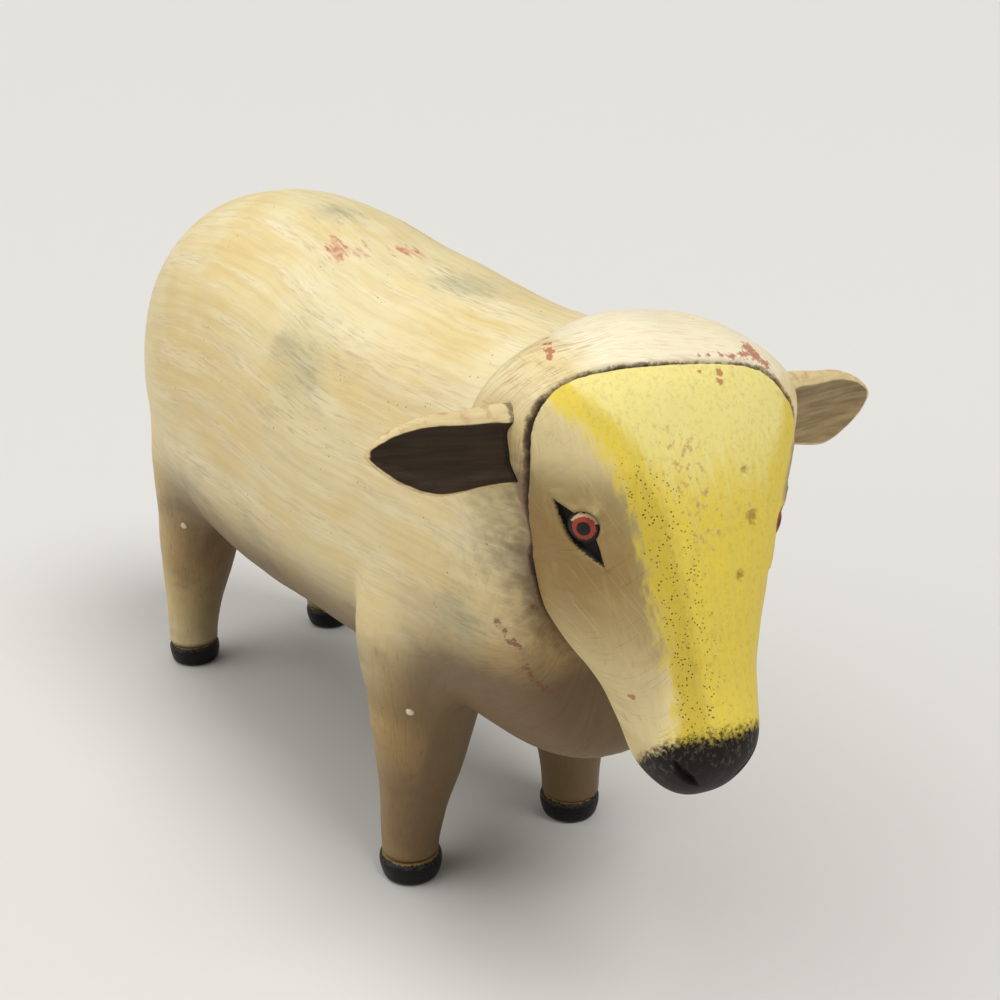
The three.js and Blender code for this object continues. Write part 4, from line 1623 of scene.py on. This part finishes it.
@dataclass
class Face:
    """Face block with its carved eyes and nostrils, and the eye beads."""

    form: FaceForm
    sight: Sight
    colours: FacePaint = FacePaint()
    pitch: float = 0.58
    room: tuple[tuple[float, ...], tuple[float, ...]] = ((-60, -245, 84), (50, -150, 212))
    worked: tuple[Lumps, ...] = (Lumps(0.35, 26.0, 6), Lumps(0.1, 7.0, 7))
    crumbs: Lumps = Lumps(0.12, 1.8, 8)
    crumbs_near: Span = (4.5, 1.0)
    filler: Lumps = Lumps(1.0, 2.4, 13)
    filler_lift: float = 0.2
    filler_rise: Span = (-4.5, -1.2)
    filler_fall: Span = (0.0, -0.6)
    filler_height: float = 1.3
    filler_above: Span = (161.0, 167.0)
    lid_height: float = 0.5
    lid_rise: Span = (-2.0, -0.4)
    lid_fall: Span = (0.4, -0.2)
    dent_depth: float = 0.7
    dent_edge: Span = (0.0, 0.8)
    outside: float = -9.0
    almond_wide: float = 3.3
    almond_slender: float = 1.5
    ball_seat: float = 4.3
    eye_depth: float = 1.5
    eye_edge: Span = (-0.15, 1.0)
    outer_tip: tuple[float, float, float] = (-35.4, -74.9, 169.6)
    inner_tip: tuple[float, float, float] = (-25.0, -85.7, 152.6)
    ball_place: tuple[float, float, float] = (-29.7, -81.2, 162.8)
    nostril_outer: tuple[float, float, float] = (-13.4, -103.1, 106.2)
    nostril_inner: tuple[float, float, float] = (-5.2, -104.6, 97.3)
    nostril_wide: float = 1.7
    nostril_slender: float = 1.0
    nostril_depth: float = 2.0
    nostril_edge: Span = (-0.1, 1.1)
    chips: tuple[Mark, ...] = (
        Mark((719, 373), 1.5), Mark((720, 381), 1.4), Mark((632, 697), 1.5), Mark((779, 380), 1.4),
        Mark((700, 372), 0.8),
    )
    worn: tuple[Mark, ...] = (
        Mark((684, 455), 8.0), Mark((690, 480), 8.0), Mark((700, 510), 6.5), Mark((706, 540), 5.0)
    )
    dents: tuple[Mark, ...] = (Mark((752, 517), 2.6), Mark((740, 575), 1.8), Mark((745, 470), 1.6))
    bead_sides: int = 56
    bead_radius: float = 4.4
    bead_height: float = 2.6
    bead_long: float = 1.12
    bead_stem: tuple[tuple[float, float], ...] = ((2.0, -6.0), (2.0, -2.8), (4.1, -2.6))
    bead_rim: float = -2.3
    unpainted: float = 9.0
    sunk_right: float = 1.5
    sunk_left: float = 2.1
    pupil: tuple[float, float] = (0.15, 0.35)
    glint_above: float = 1.2
    glint_radius: float = 3.3
    glint_half: float = 0.7

    def leaf(self, q: Array, a: Array, b: Array, wide: float, power: float, normal: Array) -> Array:
        """How deep points lie inside a leaf between two tips.

        Args:
            q: points in the head's own frame.
            a: one tip.
            b: the other tip.
            wide: the leaf's half width in mm.
            power: how slender its tips are.
            normal: outward direction of the skin there.

        Returns:
            The length inside its edge, below zero beside it.
        """
        along = (b - a) / np.linalg.norm(b - a)
        across = np.cross(normal, along)
        off = q - (a + b) / 2
        u, v = off @ along, off @ across
        half = np.linalg.norm(b - a) / 2
        lens = 1 - (u / half) ** 2
        inside = wide * np.where(lens > 0, lens**power, 3 * lens) - np.abs(v)
        return np.where(np.abs(off @ normal) < -self.outside, inside, self.outside)

    def openings(self, q: Array, shop: Workshop) -> tuple[Array, Array]:
        """How deep points lie inside the almonds round the eyes and the slits of the nostrils.

        Args:
            q: points in the head's own frame.
            shop: where the pieces are placed.

        Returns:
            Lengths inside the nearest almond and the nearest slit.
        """
        almond = np.full(len(q), self.outside)
        slit = np.full(len(q), self.outside)
        for side in Side:
            flip = np.array([-side.value, 1, 1])
            outer, inner = np.array(self.outer_tip) * flip, np.array(self.inner_tip) * flip
            middle = self.eye_middle(side, shop)
            shift = middle - np.array(self.ball_place) * flip
            normal = self.outward(middle)
            tips = outer + shift, inner + shift
            inside = self.leaf(q, *tips, self.almond_wide, self.almond_slender, normal)
            seat = self.ball_seat - np.linalg.norm(q - middle, axis=1)
            seat = np.where(inside > self.outside + 1, seat, self.outside)
            almond = np.maximum(almond, np.maximum(inside, seat))
            tips = np.array(self.nostril_outer) * flip, np.array(self.nostril_inner) * flip
            normal = self.outward((tips[0] + tips[1]) / 2)
            slit = np.maximum(slit, self.leaf(q, *tips, self.nostril_wide, self.nostril_slender, normal))
        return almond, slit

    def carve(self, shell: Shell, q: Array, ahead: Array, almond: Array, slit: Array) -> None:
        """Works the eyes, the nostrils, the dents and the hand's unevenness into the block.

        Args:
            shell: the block's skin.
            q: its points in the head's own frame.
            ahead: their distance from the joint.
            almond: their lengths inside an almond.
            slit: their lengths inside a nostril.
        """
        at = shell.points
        height = sum(lumps.over(at) for lumps in self.worked)
        height -= self.eye_depth * ease(*self.eye_edge, almond)
        height += self.lid_height * ease(*self.lid_rise, almond) * ease(*self.lid_fall, almond)
        lumps = np.maximum(self.filler.over(at) + self.filler_lift, 0)
        lumps = lumps * ease(*self.filler_rise, almond) * ease(*self.filler_fall, almond)
        height += self.filler_height * lumps * ease(*self.filler_above, q[:, 2])
        height -= self.nostril_depth * ease(*self.nostril_edge, slit)
        shell.values["dent"] = spots(at, self.dents, self.sight, self.form)
        height -= self.dent_depth * ease(*self.dent_edge, shell.values["dent"])
        height += self.crumbs.over(at) * ease(*self.crumbs_near, ahead)
        shell.push(height)

    def build(self, shop: Workshop) -> None:
        """Carves and paints the face block and sets the eyes in it.

        Args:
            shop: where the pieces are placed.
        """
        shell = skin(self.form, *self.room, self.pitch)
        shell.settle(self.form)
        q = self.form.head.own(shell.points)
        ahead = np.abs(self.form.head.ahead(shell.points))
        almond, slit = self.openings(q, shop)
        self.carve(shell, q, ahead, almond, slit)
        shell.values["almond"] = np.maximum(almond, slit)
        self.colours.lay(shell, q, ahead, self.form)
        shell.values["chip"] = spots(shell.points, self.chips, self.sight, self.form)
        shell.values["worn"] = spots(shell.points, self.worn, self.sight, self.form)
        shop.place("head_block", shell, FACE, "face_paint", "head_block")
        for side in Side:
            self.set_eye(shop, side)

    def outward(self, at: Array) -> Array:
        """Outward direction of the head's skin near a point.

        Args:
            at: the point in the head's own frame.

        Returns:
            The direction, of length 1, in the same frame.
        """
        head = self.form.head
        here = head.outer(at[None])
        step = 0.05
        slope = [head.level(here + step * a)[0] - head.level(here - step * a)[0] for a in AXES]
        found = np.array(slope) @ head.turned
        return found / np.linalg.norm(found)

    def eye_middle(self, side: Side, shop: Workshop) -> Array:
        """Middle of an eye on the skin.

        Args:
            side: which eye.
            shop: where the pieces are placed.

        Returns:
            The point in the head's own frame.
        """
        low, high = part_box("eye_" + side.name.lower())
        here = np.array((low + high) / 2 - shop.origin)[None] / MM
        at = self.form.head.own(here)[0]
        normal = self.outward(at)
        for _ in range(20):
            at = at - normal * self.form.head.measure(self.form.head.outer(at[None]))[0]
        return at

    def set_eye(self, shop: Workshop, side: Side) -> None:
        """Makes an eye bead and sets it in its almond.

        Args:
            shop: where the pieces are placed.
            side: which eye.
        """
        middle = self.eye_middle(side, shop)
        normal = self.outward(middle)
        flip = np.array([-side.value, 1, 1])
        along = (np.array(self.inner_tip) - np.array(self.outer_tip)) * flip
        along -= normal * (along @ normal)
        along /= np.linalg.norm(along)
        across = np.cross(normal, along)
        turn = np.linspace(0.0, math.pi / 2, 18)
        sunk = self.sunk_right if side is Side.RIGHT else self.sunk_left
        dome = np.stack([self.bead_radius * np.cos(turn), -sunk + self.bead_height * np.sin(turn)], 1)[:-1]
        rings = turned(np.concatenate([self.bead_stem, dome]), self.bead_sides)
        rings[:, :, 0] *= self.bead_long
        shell = lofted(rings)
        local = shell.points
        shell.points = self.form.head.outer(middle + local @ np.stack([along, across, normal]))
        lift = np.array([along[2], across[2]])
        lift /= np.linalg.norm(lift)
        off = local[:, :2] - np.array(self.pupil) * np.array([1, -side.value])
        radius = np.linalg.norm(off, axis=1)
        shell.values["iris"] = np.where(local[:, 2] > self.bead_rim, radius, self.unpainted)
        glint = self.glint_half - np.abs(radius - self.glint_radius)
        shell.values["glint"] = np.where(off @ lift > self.glint_above, glint, -1.0)
        name = "eye_" + side.name.lower()
        shop.place(name, shell, EYE, "eye_paint", name)


@dataclass
class Ear:
    """Leaf-shaped ear with a hollowed front, set in the hood."""

    head: Head
    side: Side
    height: float = 180.0
    behind_joint: float = 8.8
    sweep: float = 9.5
    length: float = 34.7
    root: float = -5.0
    thick: float = 8.6
    belly_thick: float = 7.0
    tip_thick: float = 3.2
    root_rim: float = 3.3
    tip_rim: float = 0.5
    lower_rim: float = 0.7
    hollow: float = 2.2
    belly: float = 15.0
    root_wide: float = 20.8
    belly_wide: float = 21.5
    belly_drop: float = 1.8
    tip_drop: float = 0.7
    rings: int = 64
    half_section: int = 44
    taper_power: float = 1.6
    taper_root: float = 0.74
    tip_fade: float = 2.2
    back_share: float = 0.55
    back_power: float = 0.85
    front_share: float = 0.45
    upper_power: float = 3.2
    lower_power: int = 8
    dish_edge: Span = (0.0, 1.3)
    dish_floor: Span = (-0.5, 5.0)
    worked: Lumps = Lumps(0.16, 6.0, 9)
    root_crumbs: Lumps = Lumps(0.5, 2.0, 10)
    root_end: Span = (4.5, 0.5)
    rim_power: int = 6
    rim_worn: float = 0.25
    tip_worn: float = 0.2
    worn_along: Span = (12.0, 30.0)

    def axes(self) -> tuple[Array, Array, Array, Array]:
        """The ear's place and directions in the hoof frame.

        Returns:
            Its root, and its directions outward, forward and up.
        """
        lean = math.tan(math.radians(self.head.joint_lean))
        forward = self.head.joint_forward + (self.height - self.head.joint_height) * lean
        at = self.head.side_point(self.height, forward - self.behind_joint, self.side)
        a, s = math.radians(self.sweep), self.side.value
        out = np.array([s * math.cos(a), math.sin(a), 0])
        ahead = np.array([s * math.sin(a), -math.cos(a), 0])
        turn = self.head.turned.T
        return self.head.outer(at[None])[0], out @ turn, ahead @ turn, AXES[2] @ turn

    def along(self, x: Array, root: float, belly: float, tip: float) -> Array:
        """A value along the ear, from those at its root, its belly and its tip."""
        return through(x, *stations((0, root), (self.belly, belly), (self.length, tip)))

    def build(self, shop: Workshop) -> None:
        """Lofts the ear and paints its hollow and rims.

        Args:
            shop: where the pieces are placed.
        """
        t = np.sin(np.linspace(0, math.pi / 2, self.rings + 1)[:-1])
        x = self.root + (self.length - self.root) * t
        past = np.clip((x - self.belly) / (self.length - self.belly), 0, 1)
        taper = (1 - past**self.taper_power) ** self.taper_root
        wide = self.along(x, self.root_wide, self.belly_wide, self.belly_wide)
        half = (wide / 2 * taper)[:, None]
        drop = self.along(x, 0, self.belly_drop, self.tip_drop)
        thick = self.along(x, self.thick, self.belly_thick, self.tip_thick)[:, None]
        thick = thick * np.minimum(1, taper[:, None] * self.tip_fade)
        turn = np.linspace(0, math.pi, self.half_section, endpoint=False)
        v = np.concatenate([np.cos(turn), -np.cos(turn)])[None, :]
        back = -self.back_share * np.sin(turn)[None, :] ** self.back_power * thick
        high = -np.cos(turn)[None, :]
        edge = np.where(high > 0, np.abs(high) ** self.upper_power, np.abs(high) ** self.lower_power)
        lip = self.front_share * thick * np.maximum(1 - edge, 0) ** 0.5
        upper_rim = np.interp(x, (0, self.length), (self.root_rim, self.tip_rim))[:, None]
        room = np.minimum((1 - high) * half - upper_rim, (1 + high) * half - self.lower_rim)
        room = np.minimum(room, (self.length - x)[:, None] * 0.6 - 0.4)
        dished = ease(*self.dish_edge, room)
        front = lip - self.hollow * dished * ease(*self.dish_floor, room)
        f = np.concatenate([back, front], axis=1)
        z = v * half - drop[:, None]
        rings = np.stack([np.repeat(x[:, None], v.shape[1], axis=1), f, z], 2)
        if self.side is Side.LEFT:
            rings = rings[:, ::-1]
        root, out, ahead, up = self.axes()
        shell = lofted(rings)
        p = shell.points.copy()
        p[:, 1] += self.worked.over(p) + self.root_crumbs.over(p) * ease(*self.root_end, p[:, 0])
        shell.points = root + p @ np.stack([out, ahead, up])
        flat = np.concatenate([np.zeros_like(back), dished], axis=1)
        flat = flat[:, ::-1] if self.side is Side.LEFT else flat
        shell.values["hollow"] = np.concatenate([flat.ravel(), [0.0, 0.0]])
        shell.values["limb_stroke"] = np.stack([p[:, 2], p[:, 0], p[:, 1]], 1)
        share = self.rim_worn + self.tip_worn * ease(*self.worn_along, x)
        worn = np.abs(v) ** self.rim_power * share[:, None]
        worn = worn[:, ::-1] if self.side is Side.LEFT else worn
        shell.values["chip"] = np.concatenate([worn.ravel(), [0.0, 0.0]])
        shell.values["seam"] = np.maximum(self.head.measure(shell.points), 0)
        name = "ear_" + self.side.name.lower()
        shop.place(name, shell, RIGHT_EAR if self.side is Side.RIGHT else LEFT_EAR, "ear_paint", name)


@dataclass
class Hoof:
    """Black disc under a leg."""

    corner: Corner
    leg: Leg
    sides: int = 72
    rings: int = 40
    profile: tuple[tuple[float, float], ...] = (
        (7.4, 0.0), (8.6, 0.15), (9.4, 0.7), (9.9, 1.6), (10.3, 3.0), (10.65, 4.6),
        (10.75, 6.0), (10.7, 7.1), (10.45, 7.9), (10.0, 8.5), (9.3, 8.85), (8.4, 8.95),
    )
    radius: float = 10.0
    worked: Lumps = Lumps(0.14, 4.0, 11)
    worked_above: Span = (0.1, 1.5)
    sole_rub: Span = (2.2, 0.4)
    top_rub: Span = (6.6, 7.8)
    top_share: float = 0.7
    rim: Span = (8.3, 8.9)

    def build(self, shop: Workshop) -> None:
        """Turns the hoof and rubs its edges.

        Args:
            shop: where the pieces are placed.
        """
        table = np.array(self.profile)
        length = np.concatenate([[0], np.cumsum(np.hypot(*np.diff(table, axis=0).T))])
        fine = np.linspace(0, length[-1], self.rings)
        profile = np.stack([np.interp(fine, length, table[:, k]) for k in range(2)], 1)
        shell = lofted(turned(profile, self.sides))
        sx, sy = self.corner.value
        here = np.array([sx * self.leg.track / 2, sy * self.leg.base / 2, 0])
        p = shell.points + here
        z = p[:, 2]
        bulge = self.worked.over(p) * ease(*self.worked_above, z)
        shell.points = p + (p - here) * np.array([1, 1, 0]) / self.radius * bulge[:, None]
        shell.values["rub"] = np.maximum(ease(*self.sole_rub, z), self.top_share * ease(*self.top_rub, z))
        shell.values["rim"] = ease(*self.rim, z)
        name = "hoof_" + self.corner.name.lower()
        shop.place(name, shell, HOOF, "hoof_paint", name)


@dataclass
class Peg:
    """Pin driven through a leg, its rounded end a little proud of the paint."""

    corner: Corner
    leg: Leg
    skin: Form
    front_height: float = 74.5
    rear_height: float = 72.5
    rise: float = 14.0
    turn: float = 45.0
    radius: float = 1.45
    length: float = 26.0
    proud: float = 0.9
    sides: int = 24
    outset: float = 18.0
    run_up: float = 12.0
    steps: int = 60
    stride: float = 0.8

    def build(self, shop: Workshop) -> None:
        """Turns the pin and sets its end in the leg's skin.

        Args:
            shop: where the pieces are placed.
        """
        turn, rise = math.radians(self.turn), math.radians(self.rise)
        out = np.array([self.corner.value[0] * math.sin(turn), -math.cos(turn), 0])
        height = self.front_height if self.leg.is_front else self.rear_height
        x, y = (float(v[0]) for v in self.leg.spread(np.array([[0.0, 0.0, height]])))
        start = np.array([-x, -y, height]) + self.outset * out
        inward = -out * math.cos(rise) + AXES[2] * math.sin(rise)
        at = start - self.run_up * inward
        for _ in range(self.steps):
            at = at + self.stride * self.skin.measure(at[None])[0] * inward
        r, p = self.radius, self.proud
        dome = [(0.35 * r, -p), (0.7 * r, -0.9 * p), (0.92 * r, -0.55 * p)]
        profile = np.array(dome + [(r, 0.0), (r, 3.0), (r, self.length)])
        shell = lofted(turned(profile, self.sides))
        side = np.cross(inward, AXES[2])
        side /= np.linalg.norm(side)
        shell.points = at + shell.points @ np.stack([side, np.cross(inward, side), inward])
        name = "leg_pin_" + self.corner.name.lower()
        shop.place(name, shell, PEG, "bare_wood", name)


@dataclass
class Tail:
    """Short tapering tail on the rump."""

    barrel: Barrel
    top: float = 178.0
    bottom: float = 132.0
    wide: float = 15.0
    thick: float = 13.0
    stand_off: float = 2.0
    bluntness: float = 2.4
    rings: int = 56
    sides: int = 56
    worked: Lumps = Lumps(0.25, 8.0, 12)
    grime: float = 0.8
    grime_and_shade_reach: float = 1.6
    seam_off: float = 0.6
    tan: float = 0.25
    slant: float = 32.0

    def build(self, shop: Workshop) -> None:
        """Lofts the tail along the rump.

        Args:
            shop: where the pieces are placed.
        """
        u = -np.cos(np.linspace(0, math.pi, self.rings + 2)[1:-1])
        z = (self.top + self.bottom) / 2 + (self.top - self.bottom) / 2 * u
        axis = float(self.barrel.axis(np.array([self.barrel.rear]))[0])
        heights = (np.array(self.barrel.top) - np.array(self.barrel.bottom)) / 2
        high = float(self.barrel.curve(np.array([self.barrel.rear]), heights, True)[0])
        middle = (self.barrel.rear + self.barrel.front) / 2
        half = (self.barrel.rear - self.barrel.front) / 2
        y = middle + half * closing((z - axis) / high, self.barrel.rump_bluntness) + self.stand_off
        size = closing(u, self.bluntness) / 2
        turn = np.linspace(0, 2 * math.pi, self.sides, endpoint=False)
        x = self.wide * size[:, None] * np.cos(turn)
        outward = y[:, None] + self.thick * size[:, None] * np.sin(turn)
        shell = lofted(np.stack([x, outward, np.repeat(z[:, None], self.sides, 1)], 2))
        shell.points = shell.points + self.worked.over(shell.points)[:, None] * np.array([1, 1, 0])
        # Grime and painted shade in the crease where the tail meets the rump.
        near = np.abs(self.barrel.measure(shell.points))
        shell.values["grime"] = self.grime * np.exp(-near / self.grime_and_shade_reach)
        shell.values["seam"] = near + self.seam_off
        for key in ("chip", "gouge", "scrape", "smudge", "pale", "rubbed", "scratched", "shade"):
            shell.values[key] = np.full(len(shell.points), -1.0)
        shell.values["tan"] = np.full(len(shell.points), self.tan)
        shell.values["limb"] = np.ones(len(shell.points))
        strokes = np.stack([shell.points[:, 0] * 1.5, shell.points[:, 2], shell.points[:, 1]], 1)
        shell.values["stroke"] = strokes
        shell.values["limb_stroke"] = strokes
        shell.values["scratch"] = slanted(strokes, self.slant)
        shop.place("tail", shell, CREAM, "cream_paint", "tail")


@dataclass(frozen=True)
class Lamp:
    """A soft far-off light, by where it stands from the figure, its strength and its softness."""

    name: str
    towards: tuple[float, float, float]
    strength: float
    spread: float

    def hang(self) -> None:
        """Hangs the light, aimed at the figure."""
        light = bpy.data.lights.new(self.name, "SUN")
        light.energy = self.strength
        light.angle = math.radians(self.spread)
        lamp = bpy.data.objects.new(self.name, light)
        bpy.context.scene.collection.objects.link(lamp)
        lamp.rotation_mode = "QUATERNION"
        lamp.rotation_quaternion = (-Vector(self.towards)).to_track_quat("-Z", "Y")


@dataclass(frozen=True)
class Studio:
    """Pale floor and soft light."""

    floor_colour: str = "#d9d7d2"
    floor_half: float = 16.0
    sky: float = 0.2
    lamps: tuple[Lamp, ...] = (
        Lamp("front_light", (0.1, -0.62, 1.0), 1.75, 28.0),
        Lamp("overhead_light", (-0.25, 0.3, 1.0), 1.1, 60.0),
        Lamp("side_light", (-1.0, 0.2, 0.6), 0.92, 60.0),
    )

    def set_up(self) -> None:
        """Lays the floor and hangs the lamps."""
        h = self.floor_half
        mesh = bpy.data.meshes.new("studio_floor")
        mesh.from_pydata([(-h, -h, 0), (h, -h, 0), (h, h, 0), (-h, h, 0)], [], [[0, 1, 2, 3]])
        floor = bpy.data.objects.new("studio_floor", mesh)
        bpy.context.scene.collection.objects.link(floor)
        mesh.materials.append(Finish("matt_paper", self.floor_colour, roughness=(0.85, 0.95)).mix())
        world = bpy.data.worlds.new("studio")
        world.use_nodes = True
        world.node_tree.nodes["Background"].inputs["Color"].default_value = (1, 1, 1, 1)
        world.node_tree.nodes["Background"].inputs["Strength"].default_value = self.sky
        bpy.context.scene.world = world
        for lamp in self.lamps:
            lamp.hang()
        bpy.context.scene.view_settings.view_transform = "Standard"


def hoof_origin() -> Vector:
    """Middle between the four hooves on the ground, in the row frame.

    Returns:
        The point in metres.
    """
    total = Vector((0, 0, 0))
    for corner in Corner:
        low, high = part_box("hoof_" + corner.name.lower())
        total += (low + high) / 2
    return Vector((total.x / 4, total.y / 4, 0))


def main() -> None:
    """Builds, dresses and lights the figure."""
    logging.basicConfig(level=logging.INFO, format="%(message)s")
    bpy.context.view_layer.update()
    shop = Workshop(hoof_origin())
    sight = Sight()
    barrel, head, seam = Barrel(), Head(), Seam()
    legs = tuple(Leg(corner) for corner in Corner)
    carcass = Carcass(barrel, head, seam, legs)
    face = FaceForm(barrel, head, seam)
    Body(carcass, face, sight).build(shop)
    Face(face, sight).build(shop)
    for side in Side:
        Ear(head, side).build(shop)
    for leg in legs:
        Hoof(leg.corner, leg).build(shop)
        Peg(leg.corner, leg, carcass).build(shop)
    Tail(barrel).build(shop)
    for name in ("neck_dowel_upper", "neck_dowel_lower"):
        shop.dress(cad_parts[name], PEG)
    sight.set_up(shop.origin)
    Studio().set_up()


if __name__ == "__main__":
    main()
